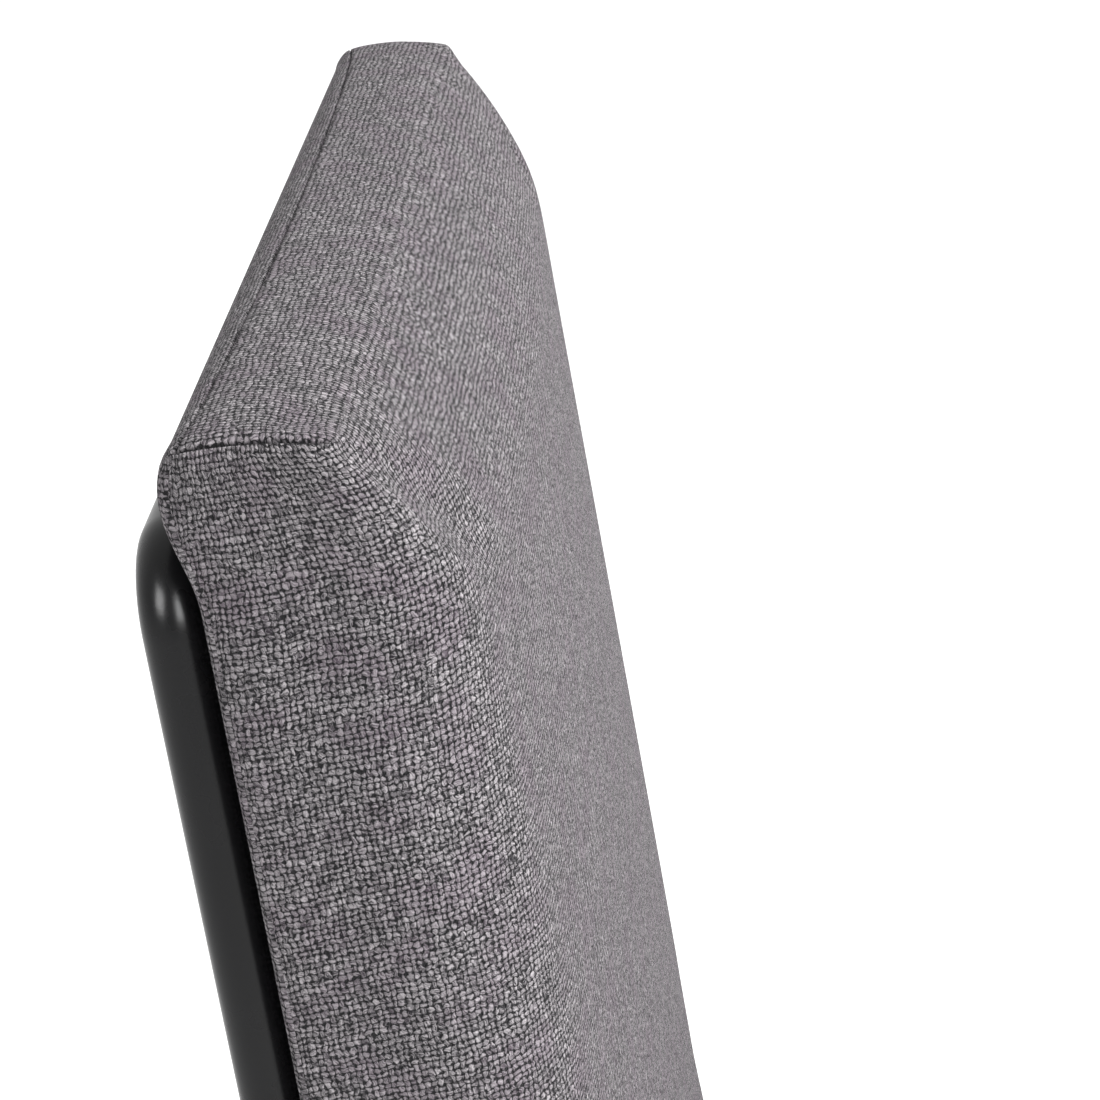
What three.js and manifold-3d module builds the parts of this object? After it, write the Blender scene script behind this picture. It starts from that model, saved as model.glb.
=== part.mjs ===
// Dining chair: an upholstered seat and backrest on a bent steel tube frame.
// Millimetres, +Z up, the sitter faces -Y. The origin is the middle of the footprint, at the floor.
import * as THREE from 'three';
import { mergeVertices } from 'three/addons/utils/BufferGeometryUtils.js';
import Module from 'manifold-3d';

const wasm = await Module();
wasm.setup();

// ---- driving dimensions ------------------------------------------------------------------------
const GAP = 0.3;                 // clearance between pieces that touch

const TUBE_R = 8;                // frame tube, outside radius
const TUBE_WALL = 1.5;
const TUBE_SIDES = 14;

const BACK_WIDTH = 430;
const BACK_HEIGHT = 446;         // along the leaning back
const BACK_TOP_Z = 938;          // height of the rear top edge
const BACK_TOP_Y = 263.9;
const LEAN = THREE.MathUtils.degToRad(8.6);
const TOP_DEPTH = 39.4;          // depth of the flat top face
const TOP_DROP = 3.3;            // how far the top face falls towards the front
const SHOULDER = 50;             // height over which the front swells below the top edge
const FRONT_DEPTH = 61;          // depth of the pad below the shoulder
const BOTTOM_DEPTH = 71;         // depth of the pad near its lower edge
const BACK_EDGE_R = 12;

const RAIL_DROP = 33;            // top rail's centreline below the rear top edge
const POST_INSET = 6;            // tube face to the side of the backrest
const POST_X = BACK_WIDTH / 2 - POST_INSET - TUBE_R;
const TOP_BEND_R = 16;
const KNEE_Z = 430;              // where the posts turn into the rear legs
const KNEE_BEND_R = 70;
const REAR_RAKE = THREE.MathUtils.degToRad(10);
const FRONT_RAKE = THREE.MathUtils.degToRad(4);
const LEG_SPLAY = 22;            // sideways, knee to foot
const FRONT_BEND_R = 30;

const SEAT_WIDTH = 450;
const SEAT_DEPTH = 465;
const SEAT_BOTTOM_Z = 420;
const SEAT_THICK = 58;
const SEAT_EDGE_R = 14;
const SEAT_CORNER_R = 38;
const SEAT_FRONT_Y = -281;
const FRONT_RAIL_IN = 50;        // front rail behind the seat's front edge

const COVER_WALL = 2;            // cover cloth with its lining
const PANEL_THICK = 6;           // back panel: cloth over thin wadding
const DUST_THICK = 0.8;
const BOARD_THICK = 10;
const BOARD_IN = 8;              // board edge inside the foam's side

const TAB_THICK = 3;
const TAB_LENGTH = 32;
const TAB_REACH = 24;
const SCREW_R = 2.8;
const GLIDE_HEIGHT = 6;
const GLIDE_R = 9.6;
const STEM_TOP = 20;             // top of a glide's stem inside its leg
const SIDE_RAIL_X = 150;
const SEAT_TAB_Y = [-150, 90];   // front and rear pairs, from the seat's middle plane
const BACK_TAB_DROP = [120, 340];

// ---- finishes ----------------------------------------------------------------------------------
const blackPaint = () => new THREE.MeshStandardMaterial({ color: 0x17171a, roughness: 0.42, metalness: 0.1 });
const greyWeave = () => new THREE.MeshStandardMaterial({ color: 0x77747a, roughness: 0.95, metalness: 0 });
const blackPlastic = () => new THREE.MeshStandardMaterial({ color: 0x101012, roughness: 0.55, metalness: 0 });
const zincSteel = () => new THREE.MeshStandardMaterial({ color: 0xb4b6b8, roughness: 0.35, metalness: 1 });
const birchPly = () => new THREE.MeshStandardMaterial({ color: 0xc8a878, roughness: 0.7, metalness: 0 });
const paleFoam = () => new THREE.MeshStandardMaterial({ color: 0xe6dfc8, roughness: 1, metalness: 0 });
const blackCloth = () => new THREE.MeshStandardMaterial({ color: 0x1c1c1e, roughness: 0.95, metalness: 0 });

// ---- helpers -----------------------------------------------------------------------------------
const chair = new THREE.Group();

function addPiece(parent, name, geometry, material) {
  const mesh = new THREE.Mesh(geometry, material);
  mesh.name = name;
  parent.add(mesh);
  return mesh;
}

function toSolid(geometry) {
  const bare = geometry.clone();
  for (const key of ['normal', 'uv']) bare.deleteAttribute(key);
  const merged = mergeVertices(bare, 1e-4);
  return new wasm.Manifold(new wasm.Mesh({
    numProp: 3,
    vertProperties: new Float32Array(merged.attributes.position.array),
    triVerts: new Uint32Array(merged.index.array),
  }));
}

function toGeometry(solid) {
  const mesh = solid.getMesh();
  const geometry = new THREE.BufferGeometry();
  geometry.setAttribute('position', new THREE.BufferAttribute(new Float32Array(mesh.vertProperties), 3));
  geometry.setIndex(new THREE.BufferAttribute(new Uint32Array(mesh.triVerts), 1));
  geometry.computeVertexNormals();
  return geometry;
}

function cut(geometry, ...tools) {
  return toGeometry(tools.reduce((solid, tool) => solid.subtract(toSolid(tool)), toSolid(geometry)));
}

function boxBetween(low, high) {
  const size = high.map((value, axis) => value - low[axis]);
  const box = new THREE.BoxGeometry(...size);
  return box.translate(...low.map((value, axis) => value + size[axis] / 2));
}

function rodBetween(start, end, radius, sides = 16) {
  const along = new THREE.Vector3().subVectors(end, start);
  const rod = new THREE.CylinderGeometry(radius, radius, along.length(), sides);
  rod.applyQuaternion(new THREE.Quaternion().setFromUnitVectors(
    new THREE.Vector3(0, 1, 0), along.clone().normalize()));
  return rod.translate(...start.clone().lerp(end, 0.5).toArray());
}

// A route of straight stretches and round bends. Its steps fall where the direction changes.
class BentRoute extends THREE.Curve {
  constructor(corners, bendRadii, stepsPerBend) {
    super();
    this.stations = [];
    const heading = (from, to) => new THREE.Vector3().subVectors(to, from).normalize();
    const last = corners.length - 1;
    this.stations.push({ point: corners[0], tangent: heading(corners[0], corners[1]) });
    for (let i = 1; i < last; i += 1) {
      const before = heading(corners[i - 1], corners[i]);
      const after = heading(corners[i], corners[i + 1]);
      const turn = before.angleTo(after);
      const reach = bendRadii[i - 1] * Math.tan(turn / 2);
      const start = corners[i].clone().addScaledVector(before, -reach);
      const axis = new THREE.Vector3().crossVectors(before, after).normalize();
      const inward = new THREE.Vector3().crossVectors(axis, before);
      const centre = start.clone().addScaledVector(inward, bendRadii[i - 1]);
      for (let step = 0; step <= stepsPerBend[i - 1]; step += 1) {
        const angle = turn * step / stepsPerBend[i - 1];
        this.stations.push({
          point: start.clone().sub(centre).applyAxisAngle(axis, angle).add(centre),
          tangent: before.clone().applyAxisAngle(axis, angle),
        });
      }
    }
    this.stations.push({ point: corners[last], tangent: heading(corners[last - 1], corners[last]) });
  }

  get steps() { return this.stations.length - 1; }

  stationAt(share) { return this.stations[Math.round(share * this.steps)]; }

  getPoint(share, target = new THREE.Vector3()) { return target.copy(this.stationAt(share).point); }

  getPointAt(share, target) { return this.getPoint(share, target); }

  getTangentAt(share, target = new THREE.Vector3()) { return target.copy(this.stationAt(share).tangent); }

  getSpacedPoints() { return this.stations.map((station) => station.point.clone()); }
}

function ringSection(outer, inner, sides) {
  const circle = (radius) => Array.from({ length: sides }, (_, i) => {
    const angle = 2 * Math.PI * i / sides;
    return new THREE.Vector2(radius * Math.cos(angle), radius * Math.sin(angle));
  });
  const section = new THREE.Shape(circle(outer));
  if (inner > 0) section.holes.push(new THREE.Path(circle(inner)));
  return section;
}

function bentTube(corners, bendRadii, stepsPerBend) {
  const route = new BentRoute(corners, bendRadii, stepsPerBend);
  return new THREE.ExtrudeGeometry(ringSection(TUBE_R, TUBE_R - TUBE_WALL, TUBE_SIDES), {
    steps: route.steps, extrudePath: route, bevelEnabled: false,
  });
}

function straightTube(start, end) {
  return bentTube([start, end], [], []);
}

function roundedRect(width, height, radius, holes = [], holeR = 0) {
  const [w, h, r] = [width / 2, height / 2, radius];
  const shape = new THREE.Shape();
  shape.moveTo(-w + r, -h).lineTo(w - r, -h).absarc(w - r, -h + r, r, -Math.PI / 2, 0);
  shape.lineTo(w, h - r).absarc(w - r, h - r, r, 0, Math.PI / 2);
  shape.lineTo(-w + r, h).absarc(-w + r, h - r, r, Math.PI / 2, Math.PI);
  shape.lineTo(-w, -h + r).absarc(-w + r, -h + r, r, Math.PI, 1.5 * Math.PI);
  for (const [x, y] of holes) {
    shape.holes.push(new THREE.Path().absarc(x, y, holeR, 0, 2 * Math.PI, true));
  }
  return shape;
}

function plate(shape, thickness, curveSegments = 4) {
  return new THREE.ExtrudeGeometry(shape, { depth: thickness, bevelEnabled: false, curveSegments });
}

// ---- frame: rear tube, front tube and seat rails ------------------------------------------------
// A point beside the leaning back: across, behind its rear face, and up from its rear top edge.
function backPoint(across, behind, up) {
  return new THREE.Vector3(0, behind, up).applyAxisAngle(new THREE.Vector3(1, 0, 0), -LEAN)
    .add(new THREE.Vector3(across, BACK_TOP_Y, BACK_TOP_Z));
}

const RAIL_Z = SEAT_BOTTOM_Z - GAP - TUBE_R;
const postBehind = TUBE_R + GAP;
const kneeUp = (KNEE_Z - BACK_TOP_Z + postBehind * Math.sin(LEAN)) / Math.cos(LEAN);
const kneeY = backPoint(0, postBehind, kneeUp).y;
const FRONT_RAIL_Y = SEAT_FRONT_Y + FRONT_RAIL_IN;

// The axis of a leg, at any height; side is -1 or 1.
function rearLeg(side, z) {
  const fall = KNEE_Z - z;
  return new THREE.Vector3(side * (POST_X + LEG_SPLAY * fall / KNEE_Z), kneeY + fall * Math.tan(REAR_RAKE), z);
}

function frontLeg(side, z) {
  const fall = RAIL_Z - z;
  return new THREE.Vector3(
    side * (POST_X + LEG_SPLAY * fall / RAIL_Z), FRONT_RAIL_Y - fall * Math.tan(FRONT_RAKE), z);
}

const BELOW_FLOOR = -15;         // the legs are drawn past the floor, then cut
const FAR = 600;                 // outside the whole chair
const floorCut = boxBetween([-FAR, -FAR, 2 * BELOW_FLOOR], [FAR, FAR, GLIDE_HEIGHT + GAP]);

function rearFrame() {
  const post = (side) => [
    rearLeg(side, BELOW_FLOOR), rearLeg(side, KNEE_Z), backPoint(side * POST_X, postBehind, -RAIL_DROP)];
  const corners = [...post(-1), ...post(1).reverse()];
  const radii = [KNEE_BEND_R, TOP_BEND_R, TOP_BEND_R, KNEE_BEND_R];
  return cut(bentTube(corners, radii, [4, 6, 6, 4]), floorCut);
}

function frontFrame() {
  const corners = [
    frontLeg(-1, BELOW_FLOOR), frontLeg(-1, RAIL_Z), frontLeg(1, RAIL_Z), frontLeg(1, BELOW_FLOOR)];
  return cut(bentTube(corners, [FRONT_BEND_R, FRONT_BEND_R], [6, 6]), floorCut);
}

// The rail ends are cut to the tubes that they meet, with a cutter that reaches past both sides.
const CUTTER_REACH = 30;

function rearCrossRail() {
  const ends = [-1, 1].map((side) => rearLeg(side, RAIL_Z));
  const legs = [-1, 1].map((side) => rodBetween(
    rearLeg(side, RAIL_Z - CUTTER_REACH), rearLeg(side, KNEE_Z), TUBE_R + GAP));
  return cut(straightTube(...ends), ...legs);
}

function sideRail(side) {
  const x = side * SIDE_RAIL_X;
  const rearY = rearLeg(side, RAIL_Z).y;
  const rail = straightTube(new THREE.Vector3(x, FRONT_RAIL_Y, RAIL_Z), new THREE.Vector3(x, rearY, RAIL_Z));
  const crossed = [FRONT_RAIL_Y, rearY].map((y) => rodBetween(
    new THREE.Vector3(x - CUTTER_REACH, y, RAIL_Z), new THREE.Vector3(x + CUTTER_REACH, y, RAIL_Z),
    TUBE_R + GAP));
  return cut(rail, ...crossed);
}

// A welded tab lies flat against the pad in its own XY plane. Z is away from the pad, the tube at its -X end.
const TAB_HOLE_X = TUBE_R + 10;

function tab() {
  const reach = TUBE_R + TAB_REACH;
  const shape = roundedRect(reach, TAB_LENGTH, 5, [[TAB_HOLE_X - reach / 2, 0]], SCREW_R + 0.6);
  const flat = plate(shape, TAB_THICK, 5).translate(reach / 2, 0, 0);
  const tubeAxis = [-1, 1].map((end) => new THREE.Vector3(0, end * TAB_LENGTH, TUBE_R));
  const pastTube = boxBetween([-FAR, -TAB_LENGTH, -TAB_THICK], [0, TAB_LENGTH, 2 * TAB_THICK]);
  return cut(flat, rodBetween(...tubeAxis, TUBE_R + GAP, 24), pastTube);
}

// A glide is a foot under the leg and a stem inside it, both along the leg and cut level.
function glide(legAxis) {
  const [low, high] = [legAxis(BELOW_FLOOR), legAxis(2 * STEM_TOP)];
  const layer = (bottom, top) => toSolid(boxBetween([-FAR, -FAR, bottom], [FAR, FAR, top]));
  const foot = toSolid(rodBetween(low, high, GLIDE_R, 24)).intersect(layer(0, GLIDE_HEIGHT));
  const stem = toSolid(rodBetween(low, high, TUBE_R - TUBE_WALL - GAP, TUBE_SIDES));
  return toGeometry(foot.add(stem.intersect(layer(GLIDE_HEIGHT / 2, STEM_TOP))));
}

addPiece(chair, 'rear_frame_tube', rearFrame(), blackPaint());
addPiece(chair, 'front_frame_tube', frontFrame(), blackPaint());
addPiece(chair, 'rear_cross_rail', rearCrossRail(), blackPaint());
const sides = [['left', -1], ['right', 1]];
for (const [word, side] of sides) {
  addPiece(chair, `side_rail_${word}`, sideRail(side), blackPaint());
  addPiece(chair, `glide_front_${word}`, glide((z) => frontLeg(side, z)), blackPlastic());
  addPiece(chair, `glide_rear_${word}`, glide((z) => rearLeg(side, z)), blackPlastic());
}

// ---- fasteners: each stack runs along +Z from the tab's outer face into the board ----------------
const WASHER = { inner: SCREW_R + 0.5, outer: 6.4, thick: 1.2 };
const HEAD = { radius: 5.2, height: 3.2, socket: 2, depth: 1.9 };
const T_NUT = { inner: SCREW_R + GAP, barrel: 3.9, barrelLength: 7, flange: 9, thick: 1.2 };
const LATHE_SIDES = 10;

function turned(profile) {
  const points = profile.map(([radius, height]) => new THREE.Vector2(radius, height));
  return new THREE.LatheGeometry(points, LATHE_SIDES).rotateX(Math.PI / 2);
}

function washer() {
  const { inner, outer, thick } = WASHER;
  const section = [[inner, 0], [outer, 0], [outer, thick], [inner, thick], [inner, 0]];
  return turned(section).translate(0, 0, -GAP - thick);
}

function screw(tip) {
  const { radius, height, socket, depth } = HEAD;
  const under = -2 * GAP - WASHER.thick;
  const crown = under - height;
  const body = turned([[0, crown], [radius * 0.7, crown], [radius, crown + height * 0.6], [radius, under],
    [SCREW_R, under], [SCREW_R, tip - 1], [SCREW_R - 1, tip], [0, tip]]);
  const key = new THREE.CylinderGeometry(socket, socket, 2 * depth, 6).rotateX(Math.PI / 2);
  return cut(body, key.translate(0, 0, crown));
}

function teeNut(boardFar) {
  const { inner, barrel, barrelLength, flange, thick } = T_NUT;
  const top = boardFar + GAP + thick;
  const low = boardFar - barrelLength;
  return turned([[inner, low], [barrel, low], [barrel, boardFar + GAP], [flange, boardFar + GAP],
    [flange, top], [inner, top], [inner, low]]);
}

// ---- padded assemblies --------------------------------------------------------------------------
const BOARD_HOLE_R = T_NUT.barrel + GAP;
const CLOTH_HOLE_R = SCREW_R + 1.2;
const POCKET_R = T_NUT.flange + 2 * GAP;

// Puts one tab, washer, screw and T-nut at each fixing point. Z of each place points into the pad.
function addFixings(group, prefix, places, clothThick) {
  const boardFar = TAB_THICK + GAP + clothThick + GAP + BOARD_THICK;
  for (const [word, place, tabTurn] of places) {
    const stack = new THREE.Group();
    stack.applyMatrix4(place);
    group.add(stack);
    const tabMesh = addPiece(stack, `${prefix}_tab_${word}`, tab(), blackPaint());
    tabMesh.rotation.set(Math.PI, 0, tabTurn);
    tabMesh.position.set(-TAB_HOLE_X * Math.cos(tabTurn), -TAB_HOLE_X * Math.sin(tabTurn), TAB_THICK);
    addPiece(stack, `${prefix}_washer_${word}`, washer(), zincSteel());
    addPiece(stack, `${prefix}_screw_${word}`, screw(boardFar), zincSteel());
    addPiece(stack, `${prefix}_tee_nut_${word}`, teeNut(boardFar), zincSteel());
  }
}

// Backrest: its own XY origin is the middle of the rear top edge, Z up the lean, the front is -Y.
const backrest = new THREE.Group();
backrest.position.set(0, BACK_TOP_Y, BACK_TOP_Z);
backrest.rotation.x = -LEAN;
chair.add(backrest);

function backBlock(inset, rear, edge) {
  const shoulderSteps = 5;
  const shoulder = Array.from({ length: shoulderSteps + 1 }, (_, i) => {
    const angle = (Math.PI / 2) * i / shoulderSteps;
    return [TOP_DEPTH + (FRONT_DEPTH - TOP_DEPTH) * Math.sin(angle) - inset,
      -TOP_DROP - SHOULDER * (1 - Math.cos(angle)) - inset];
  });
  const low = -BACK_HEIGHT + inset;
  const profile = [[rear, -inset], ...shoulder, [BOTTOM_DEPTH - inset, low + BACK_EDGE_R],
    [BOTTOM_DEPTH - inset - BACK_EDGE_R, low], [rear, low]];
  const shape = new THREE.Shape(profile.map(([depth, up]) => new THREE.Vector2(depth, up)));
  const width = BACK_WIDTH - 2 * inset;
  const block = new THREE.ExtrudeGeometry(shape, {
    depth: width - 2 * edge, bevelEnabled: true, bevelSegments: 3, bevelSize: edge, bevelOffset: -edge,
    bevelThickness: edge, steps: 1,
  }).translate(0, 0, edge);
  const turn = new THREE.Matrix4().makeBasis(
    new THREE.Vector3(0, -1, 0), new THREE.Vector3(0, 0, 1), new THREE.Vector3(-1, 0, 0));
  return block.applyMatrix4(turn).translate(width / 2, 0, 0);
}

const backMid = -BACK_HEIGHT / 2;
const backFixX = POST_X - TAB_HOLE_X;
const backFixings = BACK_TAB_DROP.flatMap((drop, row) => sides.map(([word, side]) => ({
  name: `${row ? 'lower' : 'upper'}_${word}`, across: side * backFixX, up: -drop, side,
})));

// A flat plate of the backrest, with a hole at each fixing. nearFace is its depth in front of the rear.
function backPlate(inset, nearFace, thickness, radius, holeR) {
  const holes = backFixings.map(({ across, up }) => [across, up - backMid]);
  const shape = roundedRect(BACK_WIDTH - 2 * inset, BACK_HEIGHT - 2 * inset, radius, holes, holeR);
  return plate(shape, thickness, 5).rotateX(Math.PI / 2).translate(0, -nearFace, backMid);
}

const OPEN_REAR = -40;           // the block is drawn this far behind its rear face, then cut off
const POCKET_ROOM = 4;           // room in the foam past a T-nut's flange
const boardRear = PANEL_THICK + GAP;
const boardInset = COVER_WALL + GAP + BOARD_IN;
const coverOpening = boxBetween([-FAR, -boardRear, -FAR], [FAR, FAR, FAR]);
const boardRoom = boxBetween(
  [-BACK_WIDTH / 2 + boardInset - GAP, -boardRear - BOARD_THICK - GAP, -BACK_HEIGHT + boardInset - GAP],
  [BACK_WIDTH / 2 - boardInset + GAP, 1, -boardInset + GAP]);

const backHollow = backBlock(COVER_WALL, OPEN_REAR, BACK_EDGE_R - COVER_WALL);
const backPockets = backFixings.map(({ across, up }) => rodBetween(
  new THREE.Vector3(across, -boardRear - BOARD_THICK - POCKET_ROOM, up),
  new THREE.Vector3(across, 1, up), POCKET_R, 12));
addPiece(backrest, 'back_cover',
  cut(backBlock(0, OPEN_REAR, BACK_EDGE_R), coverOpening, backHollow), greyWeave());
addPiece(backrest, 'back_foam', cut(
  backBlock(COVER_WALL + GAP, OPEN_REAR, BACK_EDGE_R - COVER_WALL),
  coverOpening, boardRoom, ...backPockets), paleFoam());
addPiece(backrest, 'back_board', backPlate(boardInset, boardRear, BOARD_THICK, 6, BOARD_HOLE_R), birchPly());
addPiece(backrest, 'back_panel', backPlate(0.5, 0, PANEL_THICK, 8, CLOTH_HOLE_R), greyWeave());

addFixings(backrest, 'back', backFixings.map(({ name, across, up, side }) => {
  const place = new THREE.Matrix4().makeRotationX(Math.PI / 2).setPosition(across, TAB_THICK + GAP, up);
  return [name, place, side < 0 ? 0 : Math.PI];
}), PANEL_THICK);

// Seat: its own origin is the middle of the underside.
const seat = new THREE.Group();
const seatMidY = SEAT_FRONT_Y + SEAT_DEPTH / 2;
seat.position.set(0, seatMidY, SEAT_BOTTOM_Z);
chair.add(seat);

function seatBlock(inset, edge) {
  const shape = roundedRect(
    SEAT_WIDTH - 2 * inset, SEAT_DEPTH - 2 * inset, SEAT_CORNER_R - inset);
  const top = SEAT_THICK - inset;
  return new THREE.ExtrudeGeometry(shape, {
    depth: top, bevelEnabled: true, bevelSegments: 3, bevelSize: edge, bevelOffset: -edge,
    bevelThickness: edge, curveSegments: 4,
  }).translate(0, 0, -edge);
}

const seatFixings = SEAT_TAB_Y.flatMap((along, row) => sides.map(([word, side]) => ({
  name: `${row ? 'rear' : 'front'}_${word}`, across: side * (SIDE_RAIL_X - TAB_HOLE_X), along, side,
})));

function seatPlate(inset, low, thickness, holeR) {
  const holes = seatFixings.map(({ across, along }) => [across, along]);
  const shape = roundedRect(
    SEAT_WIDTH - 2 * inset, SEAT_DEPTH - 2 * inset, SEAT_CORNER_R - inset, holes, holeR);
  return plate(shape, thickness, 5).translate(0, 0, low);
}

const seatBoardLow = DUST_THICK + GAP;
const seatInset = COVER_WALL + GAP + BOARD_IN;
const underSeat = boxBetween([-FAR, -FAR, -FAR], [FAR, FAR, seatBoardLow]);
const seatPockets = seatFixings.map(({ across, along }) => rodBetween(
  new THREE.Vector3(across, along, 0),
  new THREE.Vector3(across, along, seatBoardLow + BOARD_THICK + POCKET_ROOM), POCKET_R, 12));
const seatHollow = seatBlock(COVER_WALL, SEAT_EDGE_R - COVER_WALL);
const seatHollowBelow = seatHollow.clone().translate(0, 0, -SEAT_THICK / 3);
const seatInside = toGeometry(toSolid(seatHollow).add(toSolid(seatHollowBelow)));
addPiece(seat, 'seat_cover', cut(seatBlock(0, SEAT_EDGE_R), underSeat, seatInside), greyWeave());
const boardRim = seatInset - GAP;
const seatBoardRoom = plate(
  roundedRect(SEAT_WIDTH - 2 * boardRim, SEAT_DEPTH - 2 * boardRim, SEAT_CORNER_R - boardRim),
  seatBoardLow + BOARD_THICK + GAP, 5);
addPiece(seat, 'seat_foam', cut(
  seatBlock(COVER_WALL + GAP, SEAT_EDGE_R - COVER_WALL),
  underSeat, seatBoardRoom, ...seatPockets), paleFoam());
addPiece(seat, 'seat_board', seatPlate(seatInset, seatBoardLow, BOARD_THICK, BOARD_HOLE_R), birchPly());
addPiece(seat, 'seat_dust_cover', seatPlate(4, 0, DUST_THICK, CLOTH_HOLE_R), blackCloth());

addFixings(seat, 'seat', seatFixings.map(({ name, across, along, side }) => {
  const place = new THREE.Matrix4().setPosition(across, along, -GAP - TAB_THICK);
  return [name, place, side < 0 ? 0 : Math.PI];
}), DUST_THICK);

export default chair;
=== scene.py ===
# %% [markdown]
# # A dining chair: padded seat and back on a bent steel tube frame
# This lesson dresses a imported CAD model. The CAD holds every part in its place, in metres, +Z up,
# with the sitter facing -Y. Each finished piece here is drawn again with finer shapes and materials,
# and stands exactly where its CAD node stands.

# %% Load the frame and keep the CAD box
import math
import random

import bmesh
import bpy
from mathutils import Matrix, Vector
from mathutils.kdtree import KDTree


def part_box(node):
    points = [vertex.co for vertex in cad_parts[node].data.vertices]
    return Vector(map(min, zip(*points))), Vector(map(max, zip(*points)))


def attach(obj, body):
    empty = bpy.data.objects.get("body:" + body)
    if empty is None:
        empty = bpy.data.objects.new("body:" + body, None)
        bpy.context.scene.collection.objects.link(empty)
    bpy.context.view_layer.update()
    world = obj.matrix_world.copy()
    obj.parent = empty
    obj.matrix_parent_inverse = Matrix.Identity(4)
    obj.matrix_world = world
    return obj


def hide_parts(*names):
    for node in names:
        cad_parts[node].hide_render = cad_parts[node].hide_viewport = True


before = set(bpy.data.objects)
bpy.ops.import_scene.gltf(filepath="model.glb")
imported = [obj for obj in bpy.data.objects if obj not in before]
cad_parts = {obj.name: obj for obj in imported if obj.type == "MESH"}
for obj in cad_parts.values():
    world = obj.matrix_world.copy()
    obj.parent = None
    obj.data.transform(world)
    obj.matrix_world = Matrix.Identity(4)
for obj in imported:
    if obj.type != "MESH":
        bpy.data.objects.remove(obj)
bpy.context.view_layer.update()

MM = 0.001
SIDES = (("left", -1), ("right", 1))


def share_of(value):
    """The value held between 0 and 1."""
    return min(max(value, 0.0), 1.0)


# %% [markdown]
# ## The leaning back's own axes
# The backrest leans, so its sizes are easiest along the lean: across, depth in front of its rear face,
# and up from its rear top edge. The CAD back panel gives where that edge is. One helper turns such a
# place into the room's own axes, and every back piece uses it.

# %% Axes of the back
LEAN = math.radians(8.6)
PANEL_INSET = 0.5 * MM
PANEL_THICK = 6 * MM
panel_low, panel_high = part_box("back_panel")
TOP_Y = panel_high.y + PANEL_INSET * math.sin(LEAN)
TOP_Z = panel_high.z - PANEL_THICK * math.sin(LEAN) + PANEL_INSET * math.cos(LEAN)
HALF_BACK = panel_high.x + PANEL_INSET


def on_back(across, depth, up):
    return Vector((
        across,
        TOP_Y - depth * math.cos(LEAN) + up * math.sin(LEAN),
        TOP_Z + depth * math.sin(LEAN) + up * math.cos(LEAN),
    ))


print("rear top edge at y", round(TOP_Y, 4), "z", round(TOP_Z, 4))

# %% [markdown]
# ## Camera
# A close view of the backrest's near top corner from the chair's own left side, a little above it.
# A long lens flattens the depth, so it stands back from the corner and looks down by about 21 degrees.
# The place is measured from the corner itself, so that it follows the frame.

# %% Camera
CORNER_TO_CAMERA = Vector((-0.670, -0.108, 0.232))
LENS_LENGTH = 104.7
CAMERA_TURN = math.radians(-1.86)
CAMERA_DOWN = math.radians(20.8)

corner = on_back(-HALF_BACK, 0, 0)
lens = bpy.data.cameras.new("camera")
lens.lens = LENS_LENGTH
lens.sensor_width = 36
lens.clip_start = 0.05
camera = bpy.data.objects.new("camera", lens)
bpy.context.collection.objects.link(camera)
camera.location = corner + CORNER_TO_CAMERA
looking = Vector((
    math.cos(CAMERA_TURN) * math.cos(CAMERA_DOWN),
    -math.sin(CAMERA_TURN) * math.cos(CAMERA_DOWN),
    -math.sin(CAMERA_DOWN),
))
camera.rotation_euler = looking.to_track_quat("-Z", "Y").to_euler()
bpy.context.scene.camera = camera
print("camera at", [round(value, 3) for value in camera.location])

# %% [markdown]
# ## Floor and light
# A white studio: a pale floor that runs out of sight, a white world as the fill, and one large soft
# panel above and in front, which lifts the top and front faces over the sides. The panel is big
# against its distance, so its shadows have no edge. The world is dimmer towards -X, which keeps the
# chair's left side darker than its front. Two square lamps on that side are hidden from matt surfaces
# and show only in gloss, so they put two soft highlights on the tube's bend and leave the cloth alone.

# %% Floor
FLOOR_SIZE = 60
FLOOR_WHITE = 0.92
FLOOR_GLOW = 0.22
bm = bmesh.new()
bmesh.ops.create_grid(bm, x_segments=8, y_segments=8, size=FLOOR_SIZE / 2)
floor_mesh = bpy.data.meshes.new("floor")
bm.to_mesh(floor_mesh)
bm.free()
floor = bpy.data.objects.new("floor", floor_mesh)
bpy.context.collection.objects.link(floor)

floor_paint = bpy.data.materials.new("floor_white")
floor_paint.use_nodes = True
floor_shader = floor_paint.node_tree.nodes["Principled BSDF"]
floor_shader.inputs["Base Color"].default_value = (FLOOR_WHITE, FLOOR_WHITE, FLOOR_WHITE, 1)
floor_shader.inputs["Roughness"].default_value = 0.9
floor_shader.inputs["Emission Color"].default_value = (1, 1, 1, 1)
floor_shader.inputs["Emission Strength"].default_value = FLOOR_GLOW
floor_mesh.materials.append(floor_paint)

# %% World
WORLD_STRENGTH = 1.0
SHADED_SIDE = 0.58
SHADE_FROM, SHADE_TO = -0.9, 0.35

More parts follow.
